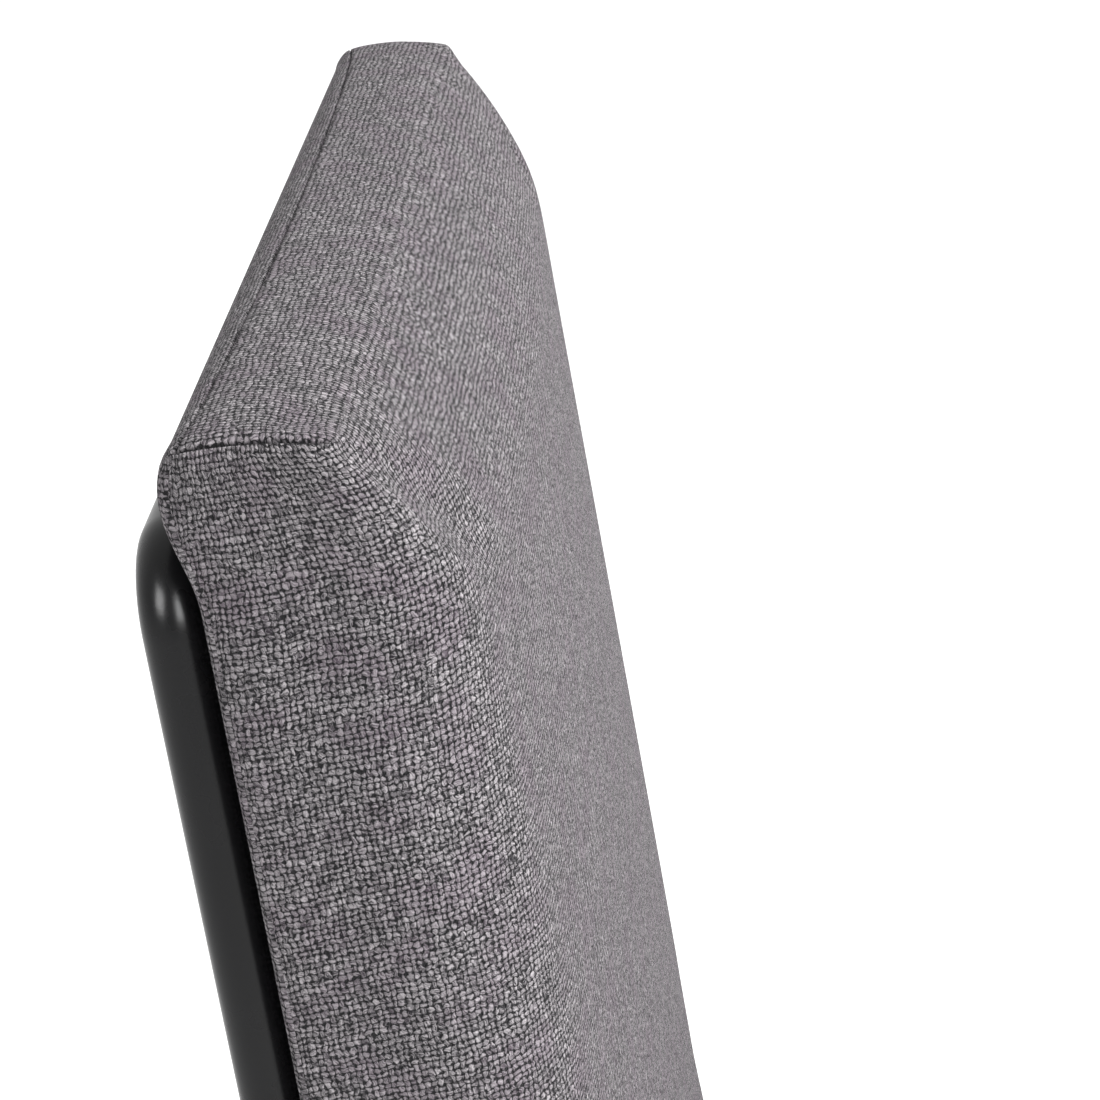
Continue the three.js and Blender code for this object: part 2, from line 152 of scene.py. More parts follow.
world = bpy.data.worlds.new("studio")
bpy.context.scene.world = world
world.use_nodes = True
world.node_tree.nodes["Background"].inputs["Color"].default_value = (1, 1, 1, 1)
studio = world.node_tree
room_side = studio.nodes.new("ShaderNodeTexCoord")
room_split = studio.nodes.new("ShaderNodeSeparateXYZ")
room_fall = studio.nodes.new("ShaderNodeMapRange")
room_fall.interpolation_type = "SMOOTHSTEP"
room_fall.inputs["From Min"].default_value = SHADE_FROM
room_fall.inputs["From Max"].default_value = SHADE_TO
room_fall.inputs["To Min"].default_value = SHADED_SIDE
room_fall.inputs["To Max"].default_value = WORLD_STRENGTH
studio.links.new(room_side.outputs["Generated"], room_split.inputs[0])
studio.links.new(room_split.outputs["X"], room_fall.inputs["Value"])
studio.links.new(room_fall.outputs["Result"], studio.nodes["Background"].inputs["Strength"])
print("world from", SHADED_SIDE, "to", WORLD_STRENGTH)

# %% Key panel and gloss lamps
KEY_POWER = 160
KEY_PLACE = Vector((-0.6, -2.2, 2.9))
KEY_AIM = Vector((0, 0.1, 0.8))
KEY_WIDTH, KEY_DEPTH = 2.4, 1.8


def area_lamp(name, power, place, aim, width, depth):
    light = bpy.data.lights.new(name, "AREA")
    light.shape = "RECTANGLE"
    light.size = width
    light.size_y = depth
    light.energy = power
    lamp = bpy.data.objects.new(name, light)
    bpy.context.collection.objects.link(lamp)
    lamp.location = place
    lamp.rotation_euler = (aim - place).to_track_quat("-Z", "Y").to_euler()
    return lamp


area_lamp("key_panel", KEY_POWER, KEY_PLACE, KEY_AIM, KEY_WIDTH, KEY_DEPTH)

SPOT_SIZE = 1.0
SPOT_POWER = 56
SPOT_PLACES = (Vector((-2.0, -0.9, 1.75)), Vector((-1.9, 1.5, 1.8)))
for number, place in enumerate(SPOT_PLACES):
    spot = area_lamp(f"edge_spot_{number}", SPOT_POWER, place, corner, SPOT_SIZE, SPOT_SIZE)
    spot.visible_diffuse = False

bpy.context.scene.view_settings.view_transform = "Standard"
print("key panel", KEY_WIDTH, "x", KEY_DEPTH, "m at", KEY_POWER, "W")

# %% [markdown]
# ## Node helpers
# Node materials are long to wire by hand. Small helpers add one node each and link whatever they
# are given: a number sets the socket, a socket is linked to it.

# %% Node helpers
def feed(tree, socket, value):
    if isinstance(value, bpy.types.NodeSocket):
        tree.links.new(value, socket)
    elif value is not None:
        socket.default_value = value


def calc(tree, operation, *values, clamp=False):
    node = tree.nodes.new("ShaderNodeMath")
    node.operation = operation
    node.use_clamp = clamp
    for socket, value in zip(node.inputs, values):
        feed(tree, socket, value)
    return node.outputs[0]


def triple(tree, x=0.0, y=0.0, z=0.0):
    node = tree.nodes.new("ShaderNodeCombineXYZ")
    for socket, value in zip(node.inputs, (x, y, z)):
        feed(tree, socket, value)
    return node.outputs[0]


def noise(tree, vector, scale, detail=2.0, roughness=0.5):
    node = tree.nodes.new("ShaderNodeTexNoise")
    feed(tree, node.inputs["Vector"], vector)
    node.inputs["Scale"].default_value = scale
    node.inputs["Detail"].default_value = detail
    node.inputs["Roughness"].default_value = roughness
    return node.outputs["Fac"]


def blend(tree, share, first, second):
    node = tree.nodes.new("ShaderNodeMix")
    node.data_type = "FLOAT"
    feed(tree, node.inputs[0], share)
    feed(tree, node.inputs[2], first)
    feed(tree, node.inputs[3], second)
    return node.outputs[0]


def tint(tree, share, first, second, way="MIX"):
    node = tree.nodes.new("ShaderNodeMix")
    node.data_type = "RGBA"
    node.blend_type = way
    feed(tree, node.inputs[0], share)
    feed(tree, node.inputs[6], first)
    feed(tree, node.inputs[7], second)
    return node.outputs[2]


def steps(tree, value, low, high):
    node = tree.nodes.new("ShaderNodeMapRange")
    node.interpolation_type = "SMOOTHSTEP"
    feed(tree, node.inputs["Value"], value)
    node.inputs["From Min"].default_value = low
    node.inputs["From Max"].default_value = high
    return node.outputs["Result"]


def new_group(name, inputs, outputs):
    group = bpy.data.node_groups.new(name, "ShaderNodeTree")
    for label, kind in inputs:
        group.interface.new_socket(name=label, in_out="INPUT", socket_type=kind)
    for label, kind in outputs:
        group.interface.new_socket(name=label, in_out="OUTPUT", socket_type=kind)
    return group, group.nodes.new("NodeGroupInput").outputs, group.nodes.new("NodeGroupOutput").inputs


def place_group(tree, group, **values):
    node = tree.nodes.new("ShaderNodeGroup")
    node.node_tree = group
    for label, value in values.items():
        feed(tree, node.inputs[label], value)
    return node.outputs


def new_material(name):
    material = bpy.data.materials.new(name)
    material.use_nodes = True
    tree = material.node_tree
    return material, tree, tree.nodes["Principled BSDF"].inputs


def object_place(tree):
    return tree.nodes.new("ShaderNodeTexCoord").outputs["Object"]


def bump(tree, height, distance, strength=1.0):
    node = tree.nodes.new("ShaderNodeBump")
    node.inputs["Distance"].default_value = distance
    node.inputs["Strength"].default_value = strength
    tree.links.new(height, node.inputs["Height"])
    return node.outputs["Normal"]


NUMBER, VECTOR = "NodeSocketFloat", "NodeSocketVector"

# %% [markdown]
# ## Plain weave
# The upholstery is a plain weave of thick marl yarns, about 1.6 mm from one to the next. Each yarn
# passes over one crossing and under the next, so the cloth shows small pillows in a chequer, with
# pits between them where shade falls. It could be a picture or a fine mesh; a node pattern in cloth
# coordinates stays sharp at any distance and needs no geometry. The group works one crossing at a
# time: it finds which yarn is on top, how high it stands, and where along and across that yarn the
# point lies. The last two steer the fibres' streaks and the mottled tone, so they follow each yarn.
# It also gives a mask of the pits, where the cloth gets its painted shade.

# %% Weave group
DRIFT_SCALE, NUDGE_SCALE = 0.16, 0.85
NUDGE = 1.25
OTHER_PLACE = (41.3, 17.9, 3.1)
YARN_R, YARN_VARIES = 0.49, 0.60
YARN_ROUND = 0.55
PILLOW_REACH = 0.60
PILLOW_POWER = 2.4
PIT_STARTS, PIT_FULL = 0.22, 0.86
STREAK_SHARE, MOTTLE_SHARE = 4.2, 1.7
MIDDLE_TONE = 0.47
FIBRE_RELIEF = 0.42


def build_weave():
    group, given, made = new_group(
        "plain_weave",
        [("Vector", VECTOR), ("Pitch", NUMBER), ("Wander", NUMBER)],
        [("Height", NUMBER), ("Tone", NUMBER), ("PitShade", NUMBER)],
    )
    cells = group.nodes.new("ShaderNodeVectorMath")
    cells.operation = "DIVIDE"
    group.links.new(given["Vector"], cells.inputs[0])
    group.links.new(triple(group, given["Pitch"], given["Pitch"], 1.0), cells.inputs[1])
    drift_x = calc(group, "SUBTRACT", noise(group, cells.outputs[0], DRIFT_SCALE, 4.0, 0.68), 0.5)
    shifted = group.nodes.new("ShaderNodeVectorMath")
    shifted.operation = "ADD"
    group.links.new(cells.outputs[0], shifted.inputs[0])
    shifted.inputs[1].default_value = OTHER_PLACE
    drift_y = calc(group, "SUBTRACT", noise(group, shifted.outputs[0], DRIFT_SCALE, 4.0, 0.68), 0.5)
    split = group.nodes.new("ShaderNodeSeparateXYZ")
    group.links.new(cells.outputs[0], split.inputs[0])
    across = calc(group, "MULTIPLY_ADD", drift_x, given["Wander"], split.outputs[0])
    along = calc(group, "MULTIPLY_ADD", drift_y, given["Wander"], split.outputs[1])
    nudge_x = calc(group, "SUBTRACT", noise(group, cells.outputs[0], NUDGE_SCALE, 2.0, 0.6), 0.5)
    nudge_y = calc(group, "SUBTRACT", noise(group, shifted.outputs[0], NUDGE_SCALE, 2.0, 0.6), 0.5)
    across = calc(group, "MULTIPLY_ADD", nudge_x, NUDGE, across)
    along = calc(group, "MULTIPLY_ADD", nudge_y, NUDGE, along)

    column = calc(group, "FLOOR", across)
    row = calc(group, "FLOOR", along)
    in_column = calc(group, "SUBTRACT", calc(group, "SUBTRACT", across, column), 0.5)
    in_row = calc(group, "SUBTRACT", calc(group, "SUBTRACT", along, row), 0.5)
    odd = calc(group, "FLOORED_MODULO", calc(group, "ADD", column, row), 2.0)
    turn = calc(group, "MULTIPLY_ADD", odd, -2.0, 1.0)

    def yarn(place_across, place_along, run, number, side):
        thick = noise(group, triple(group, calc(group, "MULTIPLY", number, 7.31), run, side), 0.31, 2.0)
        radius = calc(group, "MULTIPLY_ADD", calc(group, "SUBTRACT", thick, 0.5), YARN_VARIES, YARN_R)
        spread = calc(group, "DIVIDE", place_across, radius)
        minus_spread = calc(group, "MULTIPLY", spread, -1.0)
        left = calc(group, "MULTIPLY_ADD", spread, minus_spread, 1.0)
        round_top = calc(group, "SQRT", calc(group, "MAXIMUM", left, 0.0))
        wave = calc(group, "COSINE", calc(group, "MULTIPLY", place_along, math.pi))
        lifted = calc(group, "MULTIPLY", calc(group, "MULTIPLY", wave, turn), 0.5 * side)
        height = calc(group, "MULTIPLY_ADD", round_top, YARN_ROUND, lifted)
        beside = calc(group, "POWER", calc(group, "ABSOLUTE", spread), PILLOW_POWER)
        ahead = calc(group, "DIVIDE", calc(group, "ABSOLUTE", place_along), PILLOW_REACH)
        beyond = calc(group, "POWER", ahead, PILLOW_POWER)
        edge = steps(group, calc(group, "ADD", beside, beyond), PIT_STARTS, PIT_FULL)
        return height, spread, edge

    up_height, up_spread, up_edge = yarn(in_column, in_row, along, column, 1.0)
    cross_height, cross_spread, cross_edge = yarn(in_row, in_column, across, row, -1.0)
    on_top = calc(group, "GREATER_THAN", up_height, cross_height)
    height = calc(group, "MAXIMUM", up_height, cross_height)
    spread = blend(group, on_top, cross_spread, up_spread)
    # The mask of the pits between yarns, which the cloth paints with shade.
    pit_shade_mask = blend(group, on_top, cross_edge, up_edge)
    run = blend(group, on_top, across, along)
    number = blend(group, on_top, calc(group, "ADD", row, 57.0), column)

    twisted = calc(group, "MULTIPLY_ADD", run, 1.6, calc(group, "MULTIPLY", spread, 2.4))
    label = calc(group, "MULTIPLY", number, 3.77)
    streak = noise(group, triple(group, twisted, calc(group, "MULTIPLY", run, 0.5), label), 1.25, 4.0, 0.8)
    slow_run = calc(group, "MULTIPLY", run, 0.6)
    slow_spread = calc(group, "MULTIPLY", spread, 0.25)
    mottle_place = triple(group, slow_run, slow_spread, calc(group, "MULTIPLY", number, 9.13))
    mottle = noise(group, mottle_place, 1.0, 2.0, 0.6)
    shade = calc(group, "MULTIPLY_ADD", calc(group, "SUBTRACT", mottle, 0.5), MOTTLE_SHARE, MIDDLE_TONE)
    streaked = calc(group, "SUBTRACT", streak, 0.5)
    shade = calc(group, "MULTIPLY_ADD", streaked, STREAK_SHARE, shade, clamp=True)
    group.links.new(calc(group, "MULTIPLY_ADD", streaked, FIBRE_RELIEF, height), made["Height"])
    group.links.new(shade, made["Tone"])
    group.links.new(pit_shade_mask, made["PitShade"])
    return group


PLAIN_WEAVE = build_weave()
print("weave group:", len(PLAIN_WEAVE.nodes), "nodes")

# %% [markdown]
# ## Upholstery cloth
# Grey marl with a breath of violet. Its lightest fibres are near mid grey, and its pits are painted
# near black as shade. The colour is mixed from the weave's tone, then darkened with painted shade in
# the pits and along the seams' valleys, where the piece carries a seam mask. Cloth has a soft edge
# glow from loose fibres, set on the shader's sheen.

# %% Upholstery material
WEAVE_PITCH = 1.63 * MM
CLOTH_RELIEF = 0.75 * MM
YARN_WANDER = 1.9
DARK_FIBRE, LIGHT_FIBRE = (0.014, 0.013, 0.016, 1), (0.440, 0.412, 0.428, 1)
VIOLET_FIBRE, VIOLET_SHARE = (0.20, 0.150, 0.190, 1), 0.34
# Two near-black colours of painted shade: the first for the pits between yarns, the second for the seams'
# valleys.
PIT_SHADE, SEAM_SHADE = (0.003, 0.003, 0.004, 1), (0.010, 0.010, 0.012, 1)


def build_upholstery():
    material, tree, shader = new_material("grey_marl_cloth")
    place = tree.nodes.new("ShaderNodeUVMap")
    place.uv_map = "cloth"
    weave = place_group(tree, PLAIN_WEAVE, Vector=place.outputs[0], Pitch=WEAVE_PITCH, Wander=YARN_WANDER)
    yarn = tint(tree, weave["Tone"], DARK_FIBRE, LIGHT_FIBRE)
    broad = noise(tree, place.outputs[0], 60.0, 3.0)
    violet = calc(tree, "MULTIPLY", steps(tree, broad, 0.42, 0.66), VIOLET_SHARE)
    yarn = tint(tree, violet, yarn, VIOLET_FIBRE)
    # Paints near-black shade into the pits between the yarns.
    deep = tint(tree, calc(tree, "MULTIPLY", weave["PitShade"], 0.97), yarn, PIT_SHADE)
    seam = tree.nodes.new("ShaderNodeAttribute")
    seam.attribute_name = "seam"
    # Paints near-black shade along the seams' valleys, where the seam mask is set.
    sewn = tint(tree, calc(tree, "MULTIPLY", seam.outputs["Fac"], 0.75), deep, SEAM_SHADE)
    tree.links.new(sewn, shader["Base Color"])
    shader["Roughness"].default_value = 0.95
    shader["Specular IOR Level"].default_value = 0.18
    shader["Sheen Weight"].default_value = 0.04
    shader["Sheen Roughness"].default_value = 0.45
    tree.links.new(bump(tree, weave["Height"], CLOTH_RELIEF), shader["Normal"])
    return material


UPHOLSTERY = build_upholstery()

# %% [markdown]
# ## Powder-coated steel
# The tubes have a satin black powder coat: almost black, softly shiny, with a faint orange peel that
# only shows in the highlights. The peel is shared by every painted piece, so it is a group.

# %% Orange peel group and frame paint
def build_peel():
    group, given, made = new_group(
        "powder_peel", [("Vector", VECTOR), ("Size", NUMBER)], [("Height", NUMBER), ("Dust", NUMBER)])
    scaled = group.nodes.new("ShaderNodeVectorMath")
    scaled.operation = "DIVIDE"
    group.links.new(given["Vector"], scaled.inputs[0])
    group.links.new(triple(group, given["Size"], given["Size"], given["Size"]), scaled.inputs[1])
    group.links.new(noise(group, scaled.outputs[0], 1.0, 2.0, 0.4), made["Height"])
    group.links.new(noise(group, scaled.outputs[0], 0.03, 4.0, 0.6), made["Dust"])
    return group


POWDER_PEEL = build_peel()


def build_paint():
    material, tree, shader = new_material("black_powder_coat")
    place = object_place(tree)
    peel = place_group(tree, POWDER_PEEL, Vector=place, Size=0.9 * MM)
    base = tint(tree, peel["Dust"], (0.0045, 0.0045, 0.0052, 1), (0.0075, 0.0075, 0.0082, 1))
    tree.links.new(base, shader["Base Color"])
    tree.links.new(calc(tree, "MULTIPLY_ADD", peel["Dust"], 0.10, 0.22), shader["Roughness"])
    shader["Specular IOR Level"].default_value = 0.22
    tree.links.new(bump(tree, peel["Height"], 0.012 * MM), shader["Normal"])
    return material


FRAME_PAINT = build_paint()

# %% [markdown]
# ## Tubes
# Each frame tube is one steel pipe bent cold, so its section stays round along the whole route. It
# could be a curve with a round bevel; extruding one ring of edges and spinning it round each bend's
# centre gives the same pipe as a bender makes, with exact straight runs and exact bend radii.
# A Solidify modifier then gives the pipe its wall.

# %% Tube helper
TUBE_R = 8 * MM
TUBE_WALL = 1.5 * MM
TUBE_SIDES = 48
GAP = 0.3 * MM
GLIDE_HEIGHT = 6 * MM


def pull(bm, edges, shift):
    grown = bmesh.ops.extrude_edge_only(bm, edges=edges)["geom"]
    moved = [item for item in grown if isinstance(item, bmesh.types.BMVert)]
    bmesh.ops.translate(bm, vec=shift, verts=moved)
    reached = set(moved)
    return [item for item in grown if isinstance(item, bmesh.types.BMEdge) and set(item.verts) <= reached]


def draw_tube(corners, bend_radii, radius=TUBE_R, sides=TUBE_SIDES, bend_steps=20):
    bm = bmesh.new()
    here = corners[0]
    heading = (corners[1] - corners[0]).normalized()
    start = Matrix.Translation(here) @ heading.to_track_quat("Z", "Y").to_matrix().to_4x4()
    bmesh.ops.create_circle(bm, cap_ends=False, segments=sides, radius=radius, matrix=start)
    edges = bm.edges[:]
    for corner_point, after, bend in zip(corners[1:], corners[2:], bend_radii):
        onward = (after - corner_point).normalized()
        turn = heading.angle(onward)
        reach = bend * math.tan(turn / 2)
        bend_start = corner_point - heading * reach
        edges = pull(bm, edges, bend_start - here)
        axis = heading.cross(onward).normalized()
        centre = bend_start + axis.cross(heading) * bend
        spun = bmesh.ops.spin(
            bm, geom=edges, cent=centre, axis=axis, dvec=(0, 0, 0), angle=turn,
            steps=bend_steps, use_duplicate=False)
        edges = [item for item in spun["geom_last"] if isinstance(item, bmesh.types.BMEdge)]
        here = corner_point + onward * reach
        heading = onward
    pull(bm, edges, corners[-1] - here)
    return bm


def finish_piece(name, bm, material, slot, *nodes, smooth=True):
    mesh = bpy.data.meshes.new(name)
    bmesh.ops.recalc_face_normals(bm, faces=bm.faces)
    for face in bm.faces:
        face.smooth = smooth
    bm.to_mesh(mesh)
    bm.free()
    piece = bpy.data.objects.new(name, mesh)
    bpy.context.collection.objects.link(piece)
    mesh.materials.append(material)
    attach(piece, "root")
    if nodes:
        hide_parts(*nodes)
    return piece


def ease_edges(bm, geom, offset, segments, affect="EDGES"):
    bmesh.ops.bevel(
        bm, geom=geom, offset=offset, offset_type="OFFSET", segments=segments, profile=0.5,
        affect=affect, material=-1)


def give_wall(piece, thickness):
    wall = piece.modifiers.new("wall", "SOLIDIFY")
    wall.thickness = thickness
    wall.offset = -1


# %% [markdown]
# The rear tube is one piece: up from one foot, round the knee beside the seat, up behind the
# backrest, across its top, and down the other side. Its posts run parallel to the backrest's rear.

# %% Rear frame tube
RAIL_DROP = 33 * MM
POST_INSET = 6 * MM
POST_X = HALF_BACK - POST_INSET - TUBE_R
KNEE_BEND_R = 70 * MM
TOP_BEND_R = 16 * MM
KNEE_Z = 0.430
LEG_SPLAY = 22 * MM
REAR_RAKE = math.radians(10)
BELOW_FLOOR = -15 * MM
POST_DEPTH = -(TUBE_R + GAP)

knee_up = (KNEE_Z - TOP_Z - POST_DEPTH * math.sin(LEAN)) / math.cos(LEAN)
knee_y = on_back(0, POST_DEPTH, knee_up).y


def rear_leg(side, z):
    fall = KNEE_Z - z
    return Vector((side * (POST_X + LEG_SPLAY * fall / KNEE_Z), knee_y + fall * math.tan(REAR_RAKE), z))


def cut_at_glides(bm):
    bmesh.ops.bisect_plane(
        bm, geom=bm.verts[:] + bm.edges[:] + bm.faces[:], dist=1e-7,
        plane_co=(0, 0, GLIDE_HEIGHT + GAP), plane_no=(0, 0, -1), clear_outer=True)


def rear_route(side):
    rail_end = on_back(side * POST_X, POST_DEPTH, -RAIL_DROP)
    return [rear_leg(side, BELOW_FLOOR), rear_leg(side, KNEE_Z), rail_end]


rear_bends = [KNEE_BEND_R, TOP_BEND_R, TOP_BEND_R, KNEE_BEND_R]
bm = draw_tube(rear_route(-1) + rear_route(1)[::-1], rear_bends)
cut_at_glides(bm)
rear_tube = finish_piece("rear_tube", bm, FRAME_PAINT, "frame_paint", "rear_frame_tube")
give_wall(rear_tube, TUBE_WALL)
print("rear tube reaches", round(max(v.co.z for v in rear_tube.data.vertices), 4), "m")

# %% [markdown]
# The front tube goes up one leg, across under the seat and down the other. Three straight rails
# finish the frame under the seat: one between the rear legs, and two from front to rear.

# %% Front frame tube
RAIL_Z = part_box("front_frame_tube")[1].z - TUBE_R
seat_low, seat_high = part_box("seat_cover")
FRONT_RAIL_IN = 50 * MM
FRONT_RAIL_Y = seat_low.y + FRONT_RAIL_IN
FRONT_BEND_R = 30 * MM
FRONT_RAKE = math.radians(4)


def front_leg(side, z):
    fall = RAIL_Z - z
    return Vector((
        side * (POST_X + LEG_SPLAY * fall / RAIL_Z), FRONT_RAIL_Y - fall * math.tan(FRONT_RAKE), z))


bm = draw_tube(
    [front_leg(-1, BELOW_FLOOR), front_leg(-1, RAIL_Z), front_leg(1, RAIL_Z), front_leg(1, BELOW_FLOOR)],
    [FRONT_BEND_R, FRONT_BEND_R])
cut_at_glides(bm)
front_tube = finish_piece("front_tube", bm, FRAME_PAINT, "frame_paint", "front_frame_tube")
give_wall(front_tube, TUBE_WALL)

# %% Seat rails
SIDE_RAIL_X = 0.150
WALL_OVERLAP = 1.0 * MM
rear_rail_y = rear_leg(1, RAIL_Z).y


def straight_rail(name, start, end, node):
    onward = (end - start).normalized()
    inset = TUBE_R - WALL_OVERLAP
    bm = draw_tube([start + onward * inset, end - onward * inset], [])
    piece = finish_piece(name, bm, FRAME_PAINT, "frame_paint", node)
    give_wall(piece, TUBE_WALL)
    return piece


straight_rail("cross_rail", rear_leg(-1, RAIL_Z), rear_leg(1, RAIL_Z), "rear_cross_rail")
for word, side in SIDES:
    x = side * SIDE_RAIL_X
    front_end, rear_end = Vector((x, FRONT_RAIL_Y, RAIL_Z)), Vector((x, rear_rail_y, RAIL_Z))
    straight_rail(f"seat_rail_{word}", front_end, rear_end, f"side_rail_{word}")
print("front tube and rails at", round(RAIL_Z, 4), "m")

# %% [markdown]
# ## Padded pieces
# A cushion starts as a box with a fine grid on its six faces. Each grid point is placed by a formula
# that says where the foam's surface is, and gets its cloth coordinates from how the cloth was cut:
# the distance along the cloth, so that the weave runs on round soft edges and breaks at seams.
# A short cloth simulation then lets the cover swell between its seams, held to a small limit, and
# one subdivision smooths it. The seams are cut in last: their edges are bevelled and pushed in.

# %% Cushion helpers
SWELL_FRAMES = 20
CLOTH_STRETCH, CLOTH_BEND = 25, 2
ON_FACE = 0.9999


def soften(near, far, radius):
    """Two distances from two faces that meet at an edge, moved so that the edge gets that radius.
    A point inside both faces moves with the smaller edge that runs through it."""
    if near >= radius or far >= radius:
        return near, far
    inside = min(near, far)
    left = radius - inside
    side, other = left - (near - inside), left - (far - inside)
    reach = math.hypot(side, other)
    return inside + left - left * side / reach, inside + left - left * other / reach


def ease(value, amount):
    """Evens steps out in the middle and packs them near both ends."""
    return (1 - amount) * value + amount * math.sin(math.pi / 2 * value)


def grid_box(cells):
    bm = bmesh.new()
    bmesh.ops.create_cube(bm, size=2)
    for axis in range(3):
        chosen = [e for e in bm.edges if abs(abs(e.verts[0].co[axis] - e.verts[1].co[axis]) - 2) < 1e-4]
        bmesh.ops.subdivide_edges(bm, edges=chosen, cuts=cells[axis] - 1, use_grid_fill=True)
    bm.normal_update()
    return bm


def swell(piece, held, cap, pressure=4.0):
    """A short cloth simulation with air pressure inside. held are the vertices that don't move."""
    start = [v.co.copy() for v in piece.data.vertices]
    pins = piece.vertex_groups.new(name="pins")
    pins.add(held, 1.0, "REPLACE")
    cloth = piece.modifiers.new("cloth", "CLOTH")
    cloth.settings.vertex_group_mass = "pins"
    cloth.settings.use_pressure = True
    cloth.settings.uniform_pressure_force = pressure
    cloth.settings.effector_weights.gravity = 0
    cloth.settings.tension_stiffness = CLOTH_STRETCH
    cloth.settings.compression_stiffness = CLOTH_STRETCH
    cloth.settings.bending_stiffness = CLOTH_BEND
    cloth.collision_settings.use_self_collision = False
    cloth.point_cache.frame_start = 1
    cloth.point_cache.frame_end = SWELL_FRAMES
    scene = bpy.context.scene
    for number in range(1, SWELL_FRAMES + 1):
        scene.frame_set(number)
    state = piece.evaluated_get(bpy.context.evaluated_depsgraph_get())
    ended = [v.co.copy() for v in state.data.vertices]
    piece.modifiers.remove(cloth)
    piece.vertex_groups.remove(pins)
    scene.frame_set(1)
    largest = 0.0
    for vertex, before, after in zip(piece.data.vertices, start, ended):
        shift = after - before
        largest = max(largest, shift.length)
        if shift.length > 0:
            limited = cap * math.tanh(shift.length / cap)
            vertex.co = before + shift * (limited / shift.length)
    return largest


def apply_subdivision(piece, levels=1):
    smooth = piece.modifiers.new("smooth", "SUBSURF")
    smooth.levels = levels
    smooth.render_levels = levels
    smooth.uv_smooth = "NONE"
    depsgraph = bpy.context.evaluated_depsgraph_get()
    state = piece.evaluated_get(depsgraph)
    finer = bpy.data.meshes.new_from_object(state, preserve_all_data_layers=True, depsgraph=depsgraph)
    piece.modifiers.remove(smooth)
    old = piece.data
    piece.data = finer
    bpy.data.meshes.remove(old)


# %% [markdown]
# ## The backrest
# One cover goes over the front, top and sides, and a flat panel closes the rear inside a seam that
# runs all round, a few millimetres from the rear edge. The top is narrow and slopes forwards, the
# front swells out below it, and each top corner is closed by a dart from the rear seam to the front
# edge. The front's vertical edges are soft: the cloth just goes round them.

# %% Backrest shape
BACK_HEIGHT = 0.446
BACK_CELLS = (64, 12, 66)
TOP_DEPTH = 39.4 * MM
TOP_DROP = 3.3 * MM
SHOULDER = 53 * MM
FRONT_DEPTH = 57.6 * MM
FRONT_SLOPE = 0.028
FRONT_CROWN = 7.5 * MM
CREST_R = 7 * MM
FRONT_EDGE_R = 30 * MM
REAR_EDGE_R = 5 * MM
TOP_EDGE_R = 4.5 * MM
LOW_EDGE_R = 10 * MM
EDGE_SOFTENS = 110 * MM
YARN_TURN = 0.035
PANEL_CLOTH_START = 0.5007
SIDE_SEAM = 1.6 * MM
SEAM_CELL = 2


def front_depth(across, up):
    fallen = -up - TOP_DROP
    share = share_of(fallen / SHOULDER)
    depth = TOP_DEPTH + (FRONT_DEPTH - TOP_DEPTH) * (1 - (1 - share) ** 2)
    depth += FRONT_SLOPE * max(fallen - SHOULDER, 0.0)
    return depth + FRONT_CROWN * share * (1 - abs(across / HALF_BACK) ** 2.2)


def edge_radius(up):
    """The front's vertical edges are crisp at the dart and grow soft below it."""
    share = share_of(-up / EDGE_SOFTENS)
    return CREST_R + (FRONT_EDGE_R - CREST_R) * share * (2 - share)


def rear_bulge(across, up):
    """The rear puffs out above the top rail, and a little lower beside the posts."""
    outside = share_of((abs(across) - POST_X) / (TUBE_R + 3 * MM))
    length = (24 + 14 * outside) * MM
    share = share_of(-up / length)
    return (2.5 + 2.7 * outside) * MM * math.sin(math.pi * share ** 0.75) ** 1.2


def top_rise(across, depth):
    inward = HALF_BACK - abs(across)
    arch = (0.8 + 3.2 * (1 - math.exp(-inward / (22 * MM)))) * MM
    share = share_of(depth / TOP_DEPTH)
    return -TOP_DROP * share ** 2 + arch * (1 - (2 * share - 1) ** 2)


def seam_depth(across, on_top):
    if not on_top:
        return SIDE_SEAM
    inward = HALF_BACK - abs(across)
    along_top = 3.5 * MM * (1 - math.exp(-inward / (18 * MM))) + 4.5 * MM * (1 - (across / HALF_BACK) ** 2)
    return SIDE_SEAM + along_top


